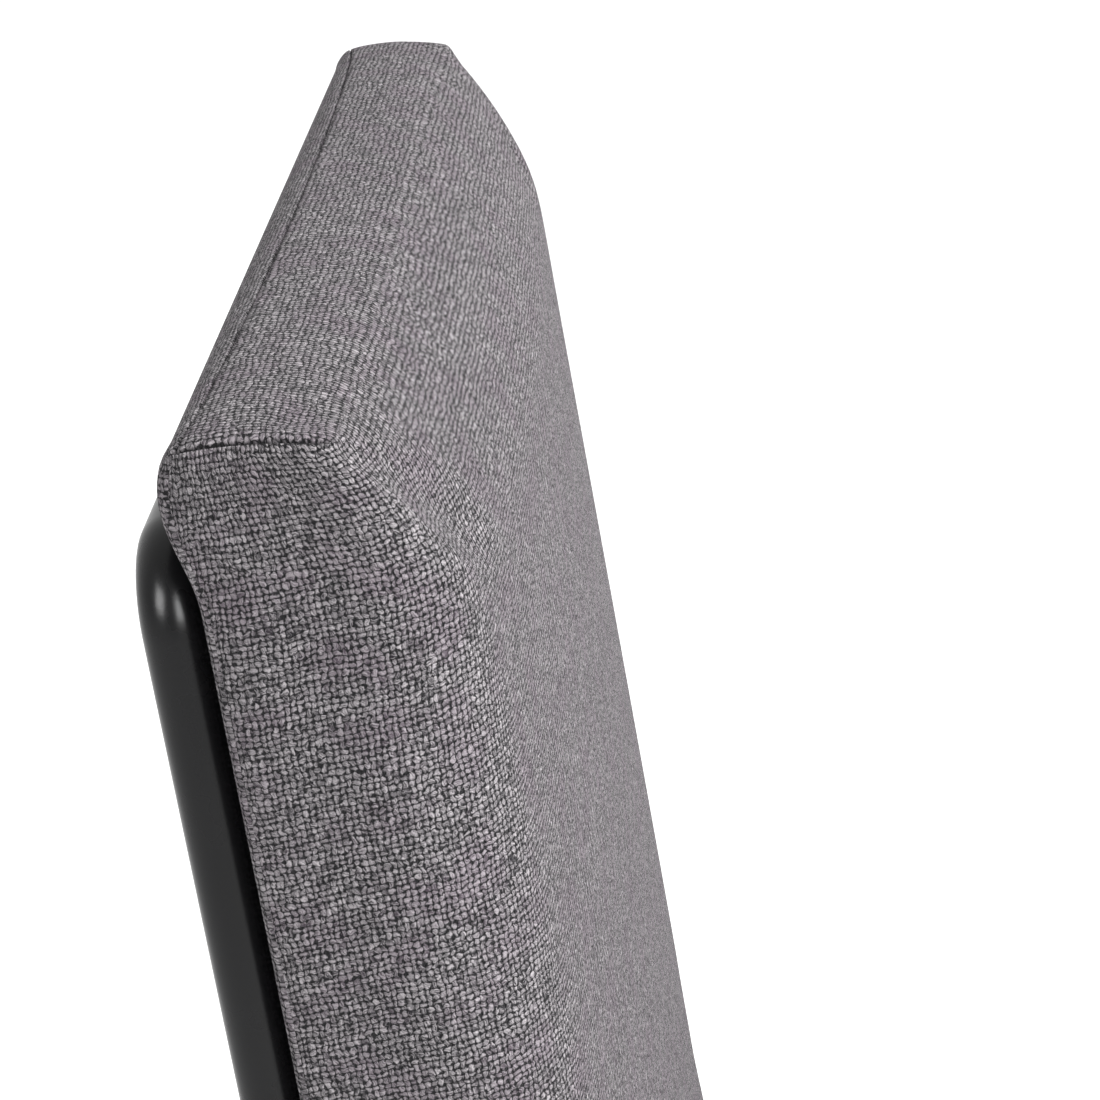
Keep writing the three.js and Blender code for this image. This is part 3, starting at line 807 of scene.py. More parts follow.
def back_grid_point(unit):
    """Where a grid point of the box lies on the foam: across, depth, up, and what the cloth needs."""
    a, b, c = unit
    across = HALF_BACK * ease(a, 0.55)
    up = -BACK_HEIGHT * (1 - ease(c, 0.55)) / 2
    from_rear = (1 - b) / 2 * BACK_CELLS[1]
    seam = seam_depth(across, abs(c) > ON_FACE)
    limit = front_depth(across, up)
    if from_rear <= SEAM_CELL:
        depth = seam * from_rear / SEAM_CELL
    else:
        depth = seam + (limit - seam) * (from_rear - SEAM_CELL) / (BACK_CELLS[1] - SEAM_CELL)
    from_side = HALF_BACK - abs(across)
    from_front = limit - depth
    turn = None
    edge = edge_radius(up)
    if from_side < edge and from_front < edge:
        if abs(c) < ON_FACE:
            turn = math.atan2(edge - from_side, edge - from_front)
        from_side, from_front = soften(from_side, from_front, edge)
        depth = limit - from_front
    from_side, depth = soften(from_side, depth, REAR_EDGE_R)
    from_top = -up
    from_low = BACK_HEIGHT + up
    from_side, from_top = soften(from_side, from_top, TOP_EDGE_R)
    from_front, from_top = soften(limit - depth, from_top, TOP_EDGE_R)
    depth = limit - from_front
    depth, from_top = soften(depth, from_top, TOP_EDGE_R)
    from_side, from_low = soften(from_side, from_low, LOW_EDGE_R)
    from_front, from_low = soften(limit - depth, from_low, LOW_EDGE_R)
    depth = limit - from_front
    depth, from_low = soften(depth, from_low, REAR_EDGE_R)
    if up > -BACK_HEIGHT / 2:
        new_up = -from_top
    else:
        new_up = from_low - BACK_HEIGHT
    near_top = max(0.0, 1 - from_top / (30 * MM))
    new_up += top_rise(across, depth) * near_top ** 2
    new_across = math.copysign(HALF_BACK - from_side, across)
    rearness = max(0.0, 1 - depth / (16 * MM))
    depth -= rear_bulge(new_across, new_up) * rearness ** 1.5
    return (new_across, depth, new_up), turn


def back_profile_length(up):
    """Distance along the cloth down the front, from the lowest edge."""
    total = 0.0
    count = 24
    low = -BACK_HEIGHT
    for i in range(count):
        one = low + (up - low) * i / count
        two = low + (up - low) * (i + 1) / count
        total += math.hypot(two - one, front_depth(HALF_BACK, two) - front_depth(HALF_BACK, one))
    return total


def straight_front(up):
    return FRONT_DEPTH + YARN_TURN * (-up - TOP_DROP - SHOULDER)


def back_cloth(place, turn, region, lengths):
    """Cloth coordinates in metres of one corner of a face."""
    across, depth, up = place
    sign = 1 if across > 0 else -1
    key = round(up, 6)
    if key not in lengths:
        lengths[key] = back_profile_length(up)
    run = lengths[key]
    side_run = up + BACK_HEIGHT - YARN_TURN * (depth - FRONT_DEPTH)
    gather = straight_front(up) - front_depth(HALF_BACK, up)
    radius = edge_radius(up)
    edge_start = HALF_BACK - radius
    if region.startswith("panel"):
        u, v = -across, up + PANEL_CLOTH_START
        if region == "panel_side":
            u -= sign * depth
        elif region == "panel_top":
            v += depth
        elif region == "panel_low":
            v -= depth
        return u, v
    if region == "top":
        return across, lengths["top"] + TOP_DEPTH - depth
    if region == "low":
        return across, depth - FRONT_DEPTH
    if turn is not None:
        share = turn / (math.pi / 2)
        u = edge_start + share * math.pi / 2 * radius
        return sign * u, run
    if region == "front":
        return across, run
    limit = front_depth(HALF_BACK, up)
    back_share = share_of((limit - radius - depth) / (limit - radius))
    side_run = run + (side_run - run) * min(1.0, 2 * back_share)
    u = edge_start + (math.pi / 2 - 1) * radius + limit - depth + gather * back_share ** 1.4
    return sign * u, side_run


# %% Backrest mesh
def region_of(face):
    middle = face.calc_center_median()
    normal = face.normal
    rear_share = (1 - middle.y) / 2 * BACK_CELLS[1]
    if normal.y > 0.5:
        return "panel"
    if rear_share < SEAM_CELL:
        return "panel_side" if abs(normal.x) > 0.5 else "panel_top" if normal.z > 0 else "panel_low"
    if normal.y < -0.5:
        return "front"
    if normal.z > 0.5:
        return "top"
    if normal.z < -0.5:
        return "low"
    return "side"


bm = grid_box(BACK_CELLS)
uv = bm.loops.layers.uv.new("cloth")
sewn = bm.verts.layers.float.new("sewn")
bm.verts.index_update()
bm.normal_update()
regions = {face: region_of(face) for face in bm.faces}
units = {vertex: vertex.co.copy() for vertex in bm.verts}
placed = {vertex: back_grid_point(units[vertex]) for vertex in bm.verts}
lengths = {"top": back_profile_length(0.0)}
for face in bm.faces:
    for loop in face.loops:
        place, turn = placed[loop.vert]
        loop[uv].uv = back_cloth(place, turn, regions[face], lengths)
held_points = set()
for edge in bm.edges:
    one, two = (units[v] for v in edge.verts)
    at_seam = all(abs((1 - unit.y) / 2 * BACK_CELLS[1] - SEAM_CELL) < 0.01 for unit in (one, two))
    at_seam = at_seam and all(abs(unit.z) > ON_FACE for unit in (one, two))
    at_dart = all(abs(unit.x) > ON_FACE and unit.z > ON_FACE for unit in (one, two))
    at_dart = at_dart and all((1 - unit.y) / 2 * BACK_CELLS[1] > SEAM_CELL - 0.01 for unit in (one, two))
    if at_seam or at_dart:
        for vertex in edge.verts:
            vertex[sewn] = 1.0
            held_points.add(vertex.index)
for vertex in bm.verts:
    if units[vertex].y > 0.99:
        held_points.add(vertex.index)
for vertex in bm.verts:
    vertex.co = on_back(*placed[vertex][0])
held_points = sorted(held_points)
back_pad = finish_piece(
    "backrest", bm, UPHOLSTERY, "upholstery", "back_cover", "back_foam", "back_panel")
print("backrest grid:", len(back_pad.data.vertices), "points,", len(held_points), "held")

# %% Swell, smooth and sew the backrest
SEAM_HALF = 0.55 * MM
SEAM_DEEP = 1.1 * MM
BACK_SWELL = 2.5 * MM


def sew(piece, half_width, deep):
    """Bevels the marked edges and pushes the middle of the bevel in, which leaves a narrow valley."""
    bm = bmesh.new()
    bm.from_mesh(piece.data)
    # A mask of the sunk points, which the cloth paints with shade in the seam's valley.
    seam_shade_mask = bm.verts.layers.float.new("seam")
    sewn = bm.verts.layers.float["sewn"]
    marked = [edge for edge in bm.edges if min(vertex[sewn] for vertex in edge.verts) > 0.99]
    bm.normal_update()
    line = [(v.co.copy(), v.normal.copy()) for v in {v for edge in marked for v in edge.verts}]
    near = KDTree(len(line))
    for number, (place, _) in enumerate(line):
        near.insert(place, number)
    near.balance()
    bmesh.ops.bevel(
        bm, geom=marked, offset=half_width, offset_type="OFFSET", segments=2, profile=0.5,
        affect="EDGES", material=-1, clamp_overlap=True)
    sunk = 0
    for vertex in bm.verts:
        _, number, distance = near.find(vertex.co)
        if distance < 0.55 * half_width:
            vertex.co -= line[number][1] * deep
            vertex[seam_shade_mask] = 1.0
            sunk += 1
    bm.to_mesh(piece.data)
    bm.free()
    return len(marked), sunk


swollen = swell(back_pad, held_points, BACK_SWELL)
print("backrest swelled at most", round(swollen / MM, 1), "mm before the limit")
apply_subdivision(back_pad)
print("seam edges and sunk points:", sew(back_pad, SEAM_HALF, SEAM_DEEP))

# %% [markdown]
# ## The seat
# The seat pad is foam on a board, with one cover pulled over it and tacked underneath. Its top is
# slightly crowned, its edges are soft, and its round corners have a tuck each, where the spare cloth
# is folded in. It is made as the backrest is: a fine box shaped by a formula, then swollen and sewn.

# %% Seat shape
SEAT_CELLS = (58, 60, 9)
SEAT_MIDDLE = (seat_low + seat_high) / 2
HALF_SEAT = (seat_high - seat_low) / 2
CORNER_R = 38 * MM
RIM_R = 19 * MM
UNDER_R = 5 * MM
SEAT_CROWN = 8 * MM
RIM_DROP = 4 * MM
SEAT_SWELL = 4 * MM
TUCK_HALF = 0.6 * MM
TUCK_DEEP = 1.3 * MM


def seat_grid_point(unit):
    """The place of a grid point, the turn round a corner, and the turn over the rim."""
    a, b, c = unit
    x, y = HALF_SEAT.x * ease(a, 0.45), HALF_SEAT.y * ease(b, 0.45)
    height = (seat_high.z - seat_low.z - RIM_DROP) * (1 + c) / 2
    top = seat_high.z - seat_low.z - RIM_DROP
    from_side, from_end = HALF_SEAT.x - abs(x), HALF_SEAT.y - abs(y)
    corner_turn = None
    if from_side < CORNER_R and from_end < CORNER_R:
        inside = min(from_side, from_end)
        left = CORNER_R - inside
        corner_turn = math.atan2(left - (from_side - inside), left - (from_end - inside))
    from_side, from_end = soften(from_side, from_end, CORNER_R)
    corner_x, corner_y = CORNER_R - from_side, CORNER_R - from_end
    if corner_x > 0 and corner_y > 0:
        inward = CORNER_R - math.hypot(corner_x, corner_y)
        heading = Vector((corner_x, corner_y)).normalized()
    elif from_side < from_end:
        inward, heading = from_side, Vector((1, 0))
    else:
        inward, heading = from_end, Vector((0, 1))
    rim_turn = None
    from_top = top - height
    if c < ON_FACE and from_top < RIM_R:
        rim_turn = math.atan2(RIM_R, RIM_R - from_top)
    new_inward, new_top = soften(inward, from_top, RIM_R)
    new_inward, new_low = soften(new_inward, top - new_top, UNDER_R)
    shift = heading * (new_inward - inward)
    new_x = math.copysign(HALF_SEAT.x - from_side - shift.x, x)
    new_y = math.copysign(HALF_SEAT.y - from_end - shift.y, y)
    rise = SEAT_CROWN * (1 - (new_x / HALF_SEAT.x) ** 2) * (1 - (new_y / HALF_SEAT.y) ** 2)
    share = share_of((new_low - UNDER_R) / (top - UNDER_R))
    place = Vector((SEAT_MIDDLE.x + new_x, SEAT_MIDDLE.y + new_y, seat_low.z + new_low + rise * share))
    return place, (new_x, new_y, new_low, corner_turn, rim_turn, top)


def seat_cloth(facts, region):
    x, y, height, corner_turn, rim_turn, top = facts
    if region in ("top", "under"):
        return (x, y) if region == "top" else (x, -y - 1)
    down = RIM_R * (rim_turn if rim_turn is not None else math.pi / 2)
    if rim_turn is None:
        down += top - RIM_R - height
    if region == "end":
        along = x if corner_turn is None else math.copysign(
            HALF_SEAT.x - CORNER_R + CORNER_R * corner_turn, x)
        return along, math.copysign(HALF_SEAT.y - RIM_R + down, y)
    quarter = math.pi / 2
    along = y if corner_turn is None else math.copysign(
        HALF_SEAT.y - CORNER_R + CORNER_R * (quarter - corner_turn), y)
    return math.copysign(HALF_SEAT.x - RIM_R + down, x), along


# %% Seat mesh
def seat_region(normal):
    if abs(normal.z) > 0.5:
        return "top" if normal.z > 0 else "under"
    return "end" if abs(normal.y) > 0.5 else "side"


bm = grid_box(SEAT_CELLS)
uv = bm.loops.layers.uv.new("cloth")
sewn = bm.verts.layers.float.new("sewn")
bm.verts.index_update()
bm.normal_update()
units = {vertex: vertex.co.copy() for vertex in bm.verts}
placed = {vertex: seat_grid_point(units[vertex]) for vertex in bm.verts}
held_points = set()
for face in bm.faces:
    region = seat_region(face.normal)
    for loop in face.loops:
        loop[uv].uv = seat_cloth(placed[loop.vert][1], region)
for vertex in bm.verts:
    unit = units[vertex]
    if abs(unit.x) > ON_FACE and abs(unit.y) > ON_FACE and unit.z < ON_FACE:
        vertex[sewn] = 1.0
        held_points.add(vertex.index)
    if unit.z < -0.99:
        held_points.add(vertex.index)
    vertex.co = placed[vertex][0]
seat_pad = finish_piece("seat_pad", bm, UPHOLSTERY, "upholstery", "seat_cover", "seat_foam")
swollen = swell(seat_pad, sorted(held_points), SEAT_SWELL)
print("seat swelled at most", round(swollen / MM, 1), "mm before the limit")
apply_subdivision(seat_pad)
print("seat tucks, edges and sunk points:", sew(seat_pad, TUCK_HALF, TUCK_DEEP))

# %% [markdown]
# ## Under the seat
# A thin black non-woven cloth hides the board and the cover's tacked edges. It is cut to the seat's
# outline, a little smaller, pulled flat and held by staples. The cloth's fibres are pressed at
# random, so its material is a fine felt with a press pattern, not a weave.

# %% Dust cloth material
def build_dust_cloth():
    material, tree, shader = new_material("black_felt")
    place = object_place(tree)
    fibres = noise(tree, place, 900.0, 4.0, 0.7)
    cloudy = noise(tree, place, 60.0, 3.0)
    dots = tree.nodes.new("ShaderNodeTexVoronoi")
    dots.inputs["Scale"].default_value = 420.0
    tree.links.new(place, dots.inputs["Vector"])
    pressed = steps(tree, dots.outputs["Distance"], 0.05, 0.45)
    share = calc(tree, "MULTIPLY", calc(tree, "ADD", fibres, cloudy), 0.5)
    felt = tint(tree, share, (0.006, 0.006, 0.007, 1), (0.030, 0.030, 0.033, 1))
    tree.links.new(felt, shader["Base Color"])
    shader["Roughness"].default_value = 0.92
    relief = calc(tree, "MULTIPLY_ADD", fibres, 0.5, pressed)
    tree.links.new(bump(tree, relief, 0.12 * MM), shader["Normal"])
    return material


DUST_CLOTH = build_dust_cloth()

# %% Dust cloth
dust_low, dust_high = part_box("seat_dust_cover")
DUST_CORNER_R = 34 * MM
DUST_WALL = 0.3 * MM
dust_size = dust_high - dust_low
dust_middle = (dust_low + dust_high) / 2
bm = bmesh.new()
bmesh.ops.create_grid(bm, x_segments=44, y_segments=46, size=0.5)
bmesh.ops.scale(bm, vec=(dust_size.x, dust_size.y, 1), verts=bm.verts)
for vertex in bm.verts:
    x, y = vertex.co.x, vertex.co.y
    from_side, from_end = soften(dust_size.x / 2 - abs(x), dust_size.y / 2 - abs(y), DUST_CORNER_R)
    ripple = 0.15 * MM * math.sin(x * 95 + 2 * math.sin(y * 40)) * math.cos(y * 70)
    vertex.co = (
        dust_middle.x + math.copysign(dust_size.x / 2 - from_side, x),
        dust_middle.y + math.copysign(dust_size.y / 2 - from_end, y),
        dust_middle.z + ripple)
dust = finish_piece("dust_cloth", bm, DUST_CLOTH, "dust_cloth", "seat_dust_cover")
dust_wall = dust.modifiers.new("wall", "SOLIDIFY")
dust_wall.thickness = DUST_WALL
dust_wall.offset = 0
print("dust cloth", round(dust_size.x, 3), "x", round(dust_size.y, 3), "m")

# %% [markdown]
# ## Zinc, plastic and plywood
# The screws, washers and T-nuts are zinc plated: a bright metal with a cloudy, faintly blue film.
# The glides are moulded black plastic with a fine spark texture. The boards inside the pads are
# birch plywood, whose faces show long grain. They are hidden in use, but a part is seen from inside
# when it is taken apart, so they get a finish too.

# %% Hardware materials
def build_zinc():
    material, tree, shader = new_material("zinc_plated_steel")
    place = object_place(tree)
    film = noise(tree, place, 260.0, 4.0, 0.6)
    scratches = noise(tree, place, 1500.0, 2.0)
    tree.links.new(tint(tree, film, (0.46, 0.47, 0.49, 1), (0.66, 0.66, 0.65, 1)), shader["Base Color"])
    shader["Metallic"].default_value = 1.0
    tree.links.new(calc(tree, "MULTIPLY_ADD", film, 0.22, 0.20), shader["Roughness"])
    tree.links.new(bump(tree, scratches, 0.01 * MM), shader["Normal"])
    return material


def build_glide_plastic():
    material, tree, shader = new_material("black_glide_plastic")
    place = object_place(tree)
    peel = place_group(tree, POWDER_PEEL, Vector=place, Size=0.35 * MM)
    black = tint(tree, peel["Dust"], (0.010, 0.010, 0.011, 1), (0.022, 0.022, 0.023, 1))
    tree.links.new(black, shader["Base Color"])
    tree.links.new(calc(tree, "MULTIPLY_ADD", peel["Dust"], 0.15, 0.48), shader["Roughness"])
    tree.links.new(bump(tree, peel["Height"], 0.03 * MM), shader["Normal"])
    return material


def build_plywood():
    material, tree, shader = new_material("birch_plywood")
    place = object_place(tree)
    stretch = tree.nodes.new("ShaderNodeMapping")
    stretch.inputs["Scale"].default_value = (14.0, 1.2, 1.2)
    tree.links.new(place, stretch.inputs["Vector"])
    figure = noise(tree, stretch.outputs[0], 3.0, 4.0, 0.6)
    pores = noise(tree, stretch.outputs[0], 60.0, 3.0, 0.6)
    grain = calc(tree, "MULTIPLY_ADD", pores, 0.4, calc(tree, "MULTIPLY", figure, 0.8))
    tree.links.new(tint(tree, grain, (0.60, 0.43, 0.25, 1), (0.36, 0.22, 0.11, 1)), shader["Base Color"])
    shader["Roughness"].default_value = 0.62
    tree.links.new(bump(tree, pores, 0.05 * MM), shader["Normal"])
    return material


def build_foam():
    material, tree, shader = new_material("open_cell_foam")
    place = object_place(tree)
    cells = noise(tree, place, 700.0, 3.0)
    tree.links.new(tint(tree, cells, (0.55, 0.48, 0.30, 1), (0.82, 0.76, 0.58, 1)), shader["Base Color"])
    shader["Roughness"].default_value = 0.95
    tree.links.new(bump(tree, cells, 0.3 * MM), shader["Normal"])
    return material


ZINC, GLIDE_PLASTIC, PLYWOOD, FOAM = build_zinc(), build_glide_plastic(), build_plywood(), build_foam()
FINISHES = {
    "tube": FRAME_PAINT, "rail": FRAME_PAINT, "tab": FRAME_PAINT, "glide": GLIDE_PLASTIC,
    "washer": ZINC, "screw": ZINC, "tee_nut": ZINC, "board": PLYWOOD, "foam": FOAM,
    "dust_cover": DUST_CLOTH, "cover": UPHOLSTERY, "panel": UPHOLSTERY,
}
dressed = 0
for name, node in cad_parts.items():
    finish = next(FINISHES[word] for word in FINISHES if word in name)
    for slot in node.material_slots:
        slot.material = finish
        dressed += 1
print("CAD nodes dressed:", dressed)

# %% [markdown]
# ## Turned pieces: glides, screws and washers
# Round hardware is turned on a lathe or moulded round, so each piece is a short profile spun round
# its axis. The points run from the axis out and back, and the spin closes on itself. A glide follows
# its leg, which leans, so its profile is sheared along the leg after the spin.

# %% Turning helper
def turned(bm, profile, matrix, steps_round=36):
    points = [bm.verts.new((radius, 0, height)) for radius, height in profile]
    edges = [bm.edges.new(pair) for pair in zip(points, points[1:])]
    spun = bmesh.ops.spin(
        bm, geom=points + edges, cent=(0, 0, 0), axis=(0, 0, 1), dvec=(0, 0, 0),
        angle=2 * math.pi, steps=steps_round, use_merge=True, use_duplicate=False)
    bmesh.ops.remove_doubles(bm, verts=bm.verts[:], dist=1e-6)
    bmesh.ops.transform(bm, matrix=matrix, verts=bm.verts)


# %% Glides
GLIDE_PROFILE = [
    (0, 0), (8.2, 0), (9.1, 0.35), (9.55, 1.3), (9.6, 2.4), (9.6, 4.9), (9.4, 5.6), (8.8, 6.0), (6.25, 6.05),
    (6.2, 18.5), (5.4, 20), (0, 20)]
for row, leg in (("front", front_leg), ("rear", rear_leg)):
    for word, side in SIDES:
        foot, above = leg(side, 0.0), leg(side, 0.1)
        slope = (above - foot) / 0.1
        lean_along = Matrix((
            (1, 0, slope.x, foot.x), (0, 1, slope.y, foot.y), (0, 0, 1, 0), (0, 0, 0, 1)))
        bm = bmesh.new()
        turned(bm, [(radius * MM, height * MM) for radius, height in GLIDE_PROFILE], lean_along, 48)
        finish_piece(f"foot_glide_{row}_{word}", bm, GLIDE_PLASTIC, "glide_plastic", f"glide_{row}_{word}")
print("glides: 4")

# %% Places of the fixings
TAB_THICK = 3 * MM
TAB_HOLE = TUBE_R + 10 * MM
BOARD_THICK = 10 * MM
DUST_ROOM = 0.8 * MM
BACK_TAB_DROPS = (("upper", 0.120), ("lower", 0.340))
SEAT_TAB_PLACES = (("front", -0.150), ("rear", 0.090))
fixings = []
for row, drop in BACK_TAB_DROPS:
    for word, side in SIDES:
        across = side * (POST_X - TAB_HOLE)
        origin = on_back(across, -(TAB_THICK + GAP), -drop)
        into = Vector((0, -math.cos(LEAN), math.sin(LEAN)))
        up = Vector((0, math.sin(LEAN), math.cos(LEAN)))
        tip = TAB_THICK + GAP + PANEL_THICK + GAP + BOARD_THICK
        fixings.append((f"back_{{}}_{row}_{word}", origin, into, up, side, tip))
for row, along in SEAT_TAB_PLACES:
    for word, side in SIDES:
        across = side * (SIDE_RAIL_X - TAB_HOLE)
        origin = Vector((across, SEAT_MIDDLE.y + along, dust_low.z - GAP - TAB_THICK))
        tip = TAB_THICK + GAP + DUST_ROOM + GAP + BOARD_THICK
        fixings.append((f"seat_{{}}_{row}_{word}", origin, Vector((0, 0, 1)), Vector((0, 1, 0)), side, tip))


def axes_matrix(right, up, into, origin):
    return Matrix((
        (right.x, up.x, into.x, origin.x), (right.y, up.y, into.y, origin.y),
        (right.z, up.z, into.z, origin.z), (0, 0, 0, 1)))


def fixing_matrix(origin, into, up):
    return axes_matrix(up.cross(into), up, into, origin)


# %% [markdown]
# A button-head screw has a low dome with a hexagon socket. The socket starts as the open middle of
# the spun dome: its ring of points is drawn onto a hexagon, pulled down and closed.

# %% Screws and washers
WASHER_THICK = 1.2 * MM
HEAD_HEIGHT = 3.2 * MM
SOCKET_R = 1.9 * MM
SOCKET_DEEP = 1.8 * MM
SHANK_R = 2.8 * MM
HEAD_PROFILE = [
    (1.9, 0.0), (2.5, 0.0), (3.2, 0.18), (4.0, 0.62), (4.7, 1.35), (5.1, 2.2), (5.2, 2.9), (5.05, 3.2),
    (2.8, 3.2)]


def build_screw(origin, into, up, tip):
    bm = bmesh.new()
    crown = -2 * GAP - WASHER_THICK - HEAD_HEIGHT
    profile = [(radius * MM, crown + height * MM) for radius, height in HEAD_PROFILE]
    profile += [(SHANK_R, tip - 1 * MM), (1.9 * MM, tip), (0, tip)]
    turned(bm, profile, Matrix.Identity(4))
    rim = [e for e in bm.edges if len(e.link_faces) == 1]
    for vertex in {v for e in rim for v in e.verts}:
        angle = math.atan2(vertex.co.y, vertex.co.x)
        sector = (angle + math.pi / 6) % (math.pi / 3) - math.pi / 6
        reach = SOCKET_R * math.cos(math.pi / 6) / math.cos(sector)
        vertex.co.x, vertex.co.y = reach * math.cos(angle), reach * math.sin(angle)
    floor_ring = pull(bm, rim, Vector((0, 0, SOCKET_DEEP)))
    bmesh.ops.edgeloop_fill(bm, edges=floor_ring)
    bmesh.ops.transform(bm, matrix=fixing_matrix(origin, into, up), verts=bm.verts)
    return bm


def build_washer(origin, into, up):
    bm = bmesh.new()
    far = -GAP
    near = far - WASHER_THICK
    profile = [
        (3.3, near), (6.1, near), (6.4, near + 0.3 * MM), (6.4, far - 0.1 * MM), (6.3, far), (3.3, far),
        (3.3, near)]
    turned(bm, [(radius * MM, height) for radius, height in profile], fixing_matrix(origin, into, up))
    return bm


for pattern, origin, into, up, side, tip in fixings:
    screw_name, washer_name = pattern.format("screw"), pattern.format("washer")
    bolt = finish_piece(
        f"bolt_{screw_name}", build_screw(origin, into, up, tip), ZINC, "zinc_steel", screw_name)
    disc = finish_piece(
        f"disc_{washer_name}", build_washer(origin, into, up), ZINC, "zinc_steel", washer_name)
    for piece in (bolt, disc):
        piece.data.set_sharp_from_angle(angle=math.radians(32))
print("screws and washers:", 2 * len(fixings))

# %% [markdown]
# ## Welded tabs
# Each fixing goes through a flat tab with round outer corners, welded to the side of its tube. The
# plate is a rectangle whose outer corners are bevelled, pulled up to its thickness, and eased along
# its edges. A weld bead lies in the corner between plate and tube: a thin rod with slow ripples.

# %% Tabs and their welds
TAB_LENGTH = 32 * MM
TAB_END = TUBE_R + 24 * MM
TAB_START = 5.5 * MM
TAB_CORNER_R = 5 * MM
TAB_EDGE_R = 0.35 * MM
BEAD_R = 1.3 * MM


def build_tab(origin, into, up, side):
    bm = bmesh.new()
    bmesh.ops.create_grid(bm, x_segments=1, y_segments=1, size=0.5)
    width = TAB_END - TAB_START
    bmesh.ops.scale(bm, vec=(width, TAB_LENGTH, 1), verts=bm.verts)
    bmesh.ops.translate(bm, vec=(TAB_START + width / 2 - TAB_HOLE, 0, 0), verts=bm.verts)
    outer = [v for v in bm.verts if v.co.x > 0]
    ease_edges(bm, outer, TAB_CORNER_R, 8, "VERTICES")
    grown = bmesh.ops.extrude_face_region(bm, geom=bm.faces[:])["geom"]
    lifted = [item for item in grown if isinstance(item, bmesh.types.BMVert)]
    bmesh.ops.translate(bm, vec=(0, 0, TAB_THICK), verts=lifted)
    bmesh.ops.recalc_face_normals(bm, faces=bm.faces)
    rims = [e for e in bm.edges if len(e.link_faces) == 2 and e.calc_face_angle() > 1.2]
    ease_edges(bm, rims, TAB_EDGE_R, 2)
    if side > 0:
        bmesh.ops.rotate(bm, cent=(0, 0, 0), matrix=Matrix.Rotation(math.pi, 3, "Z"), verts=bm.verts)
    bmesh.ops.transform(bm, matrix=fixing_matrix(origin, into, up), verts=bm.verts)
    return bm


def lay_bead(bm, start, end, radius, ripples, phase):
    heading = (end - start).normalized()
    steps_along = ripples * 4
    bmesh.ops.create_circle(
        bm, cap_ends=True, segments=10, radius=radius * 0.5,
        matrix=Matrix.Translation(start) @ heading.to_track_quat("Z", "Y").to_matrix().to_4x4())
    ring = [v for v in bm.verts if v.tag is False]
    edges = list({e for v in ring for e in v.link_edges})
    widths = [radius * (0.92 + 0.10 * math.sin(phase + i * math.pi / 2)) for i in range(steps_along)]
    widths[-1] = radius * 0.5
    before = radius * 0.5
    for i, width in enumerate(widths):
        edges = pull(bm, edges, heading * (end - start).length / steps_along)
        verts = list({v for e in edges for v in e.verts})
        centre = sum((v.co for v in verts), Vector()) / len(verts)
        bmesh.ops.scale(bm, vec=(width / before,) * 3, space=Matrix.Translation(-centre), verts=verts)
        before = width
    bmesh.ops.edgeloop_fill(bm, edges=edges)
    for vertex in bm.verts:
        vertex.tag = True


random.seed(7)
beads = bmesh.new()
for pattern, origin, into, up, side, tip in fixings:
    tab_name = pattern.format("tab")
    plate = build_tab(origin, into, up, side)
    finish_piece(f"plate_{tab_name}", plate, FRAME_PAINT, "frame_paint", tab_name, smooth=False)
    outward = up.cross(into).normalized()
    towards_tube = outward * (side if outward.x > 0 else -side)
    reach = TAB_HOLE - TUBE_R + 0.9 * MM
    root = origin + towards_tube * reach + into * (-0.2 * MM)
    half = TAB_LENGTH / 2 - 2 * MM
    lay_bead(beads, root - up * half, root + up * half, BEAD_R, 14, random.uniform(0, 6))
finish_piece("tab_welds", beads, FRAME_PAINT, "frame_paint")
print("tabs:", len(fixings), "with a bead each")

# %% [markdown]
# ## Rail joints
# Where a rail meets a tube, a welded collar runs round the joint. It is a ring that follows the line
# in which the two round tubes meet, grown outwards in four steps from the rail's skin to the tube's.

# %% Rail welds
COLLAR_STEPS = ((8.0, 2.4), (8.7, 1.5), (9.3, 0.7), (10.0, -0.1), (10.3, -0.7))


def saddle(radius, angle, lift):
    inside = TUBE_R ** 2 - (radius * math.sin(angle)) ** 2
    return math.sqrt(max(inside, 0.0)) + lift


def lay_collar(bm, joint, along, tube_axis, phase):
    """A collar on a rail that leaves the joint along one direction, against a tube."""
    third = tube_axis.cross(along).normalized()
    turn = axes_matrix(tube_axis, third, along, joint)
    made = bmesh.ops.create_circle(bm, cap_ends=False, segments=64, radius=1.0)["verts"]
    edges = list({e for v in made for e in v.link_edges})
    rings = [made]
    for _ in COLLAR_STEPS[1:]:
        edges = pull(bm, edges, Vector((0, 0, 0)))
        rings.append(list({v for e in edges for v in e.verts}))
    for ring, (radius, lift) in zip(rings, COLLAR_STEPS):
        for vertex in ring:
            angle = math.atan2(vertex.co.y, vertex.co.x)
            ripple = 0.18 * math.sin(angle * 22 + phase) if 8 < radius < 10.2 else 0.0
            size = (radius + ripple) * MM
            vertex.co = turn @ Vector((
                size * math.cos(angle), size * math.sin(angle), saddle(size, angle, lift * MM)))


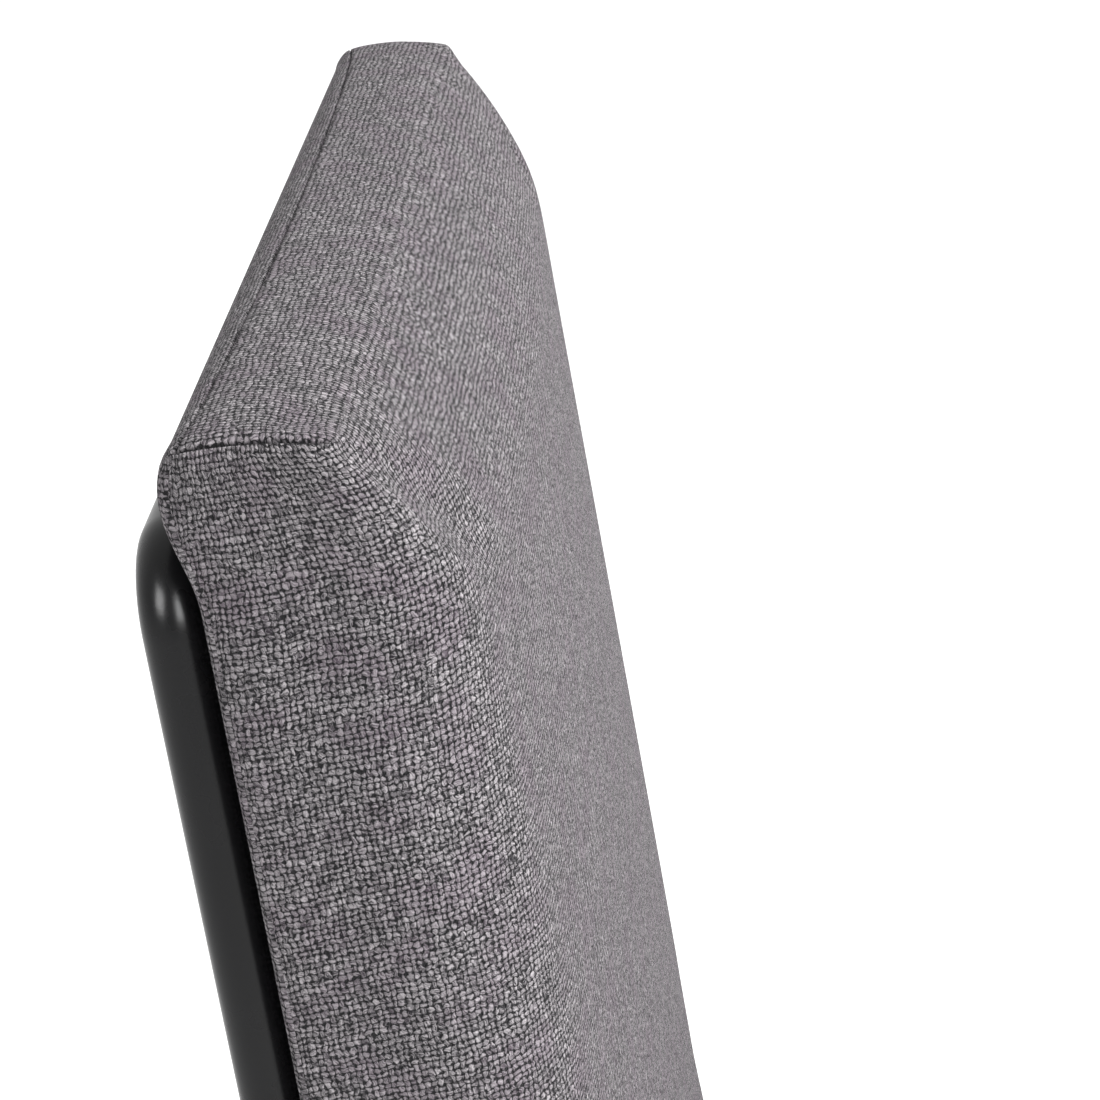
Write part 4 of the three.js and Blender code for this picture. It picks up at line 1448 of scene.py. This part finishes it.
collars = bmesh.new()
for side in (-1, 1):
    leg_axis = (rear_leg(side, RAIL_Z) - rear_leg(side, 0)).normalized()
    inward = Vector((-side, 0, 0))
    lay_collar(collars, rear_leg(side, RAIL_Z), inward, leg_axis, random.uniform(0, 6))
    x = side * SIDE_RAIL_X
    across = Vector((1, 0, 0))
    lay_collar(collars, Vector((x, FRONT_RAIL_Y, RAIL_Z)), Vector((0, 1, 0)), across, random.uniform(0, 6))
    lay_collar(collars, Vector((x, rear_rail_y, RAIL_Z)), Vector((0, -1, 0)), across, random.uniform(0, 6))
finish_piece("rail_welds", collars, FRAME_PAINT, "frame_paint")
print("rail welds: 6")

# %% [markdown]
# ## Staples
# The dust cloth is held by wire staples about 42 mm apart, a little inside its edge. Each is
# seen as one flat bar of wire pressed into the cloth: a box with eased edges.

# %% Staples
STAPLE_LENGTH = 10 * MM
STAPLE_INSET = 7 * MM
STAPLES_ALONG = 9
STAPLE_EDGE_R = 0.16 * MM
staples = bmesh.new()
for axis in (0, 1):
    half_length, half_other = dust_size[axis] / 2, dust_size[1 - axis] / 2
    for side in (-1, 1):
        for i in range(STAPLES_ALONG):
            share = (i + 0.5) / STAPLES_ALONG * 2 - 1
            place = [0.0, 0.0, dust_low.z - 0.15 * MM]
            slid = share * (half_length - DUST_CORNER_R) + random.uniform(-3, 3) * MM
            outward = side * (half_other - STAPLE_INSET + random.uniform(-1, 1) * MM)
            place[axis] = dust_middle[axis] + slid
            place[1 - axis] = dust_middle[1 - axis] + outward
            made = bmesh.ops.create_cube(staples, size=1)["verts"]
            bmesh.ops.scale(staples, vec=(STAPLE_LENGTH, 1.1 * MM, 0.5 * MM), verts=made)
            bmesh.ops.rotate(staples, cent=(0, 0, 0), verts=made,
                             matrix=Matrix.Rotation(axis * math.pi / 2 + random.uniform(-0.12, 0.12), 3, "Z"))
            bmesh.ops.translate(staples, vec=place, verts=made)
ease_edges(staples, staples.edges[:], STAPLE_EDGE_R, 2)
finish_piece("dust_cloth_staples", staples, ZINC, "zinc_steel")
print("staples:", 4 * STAPLES_ALONG)
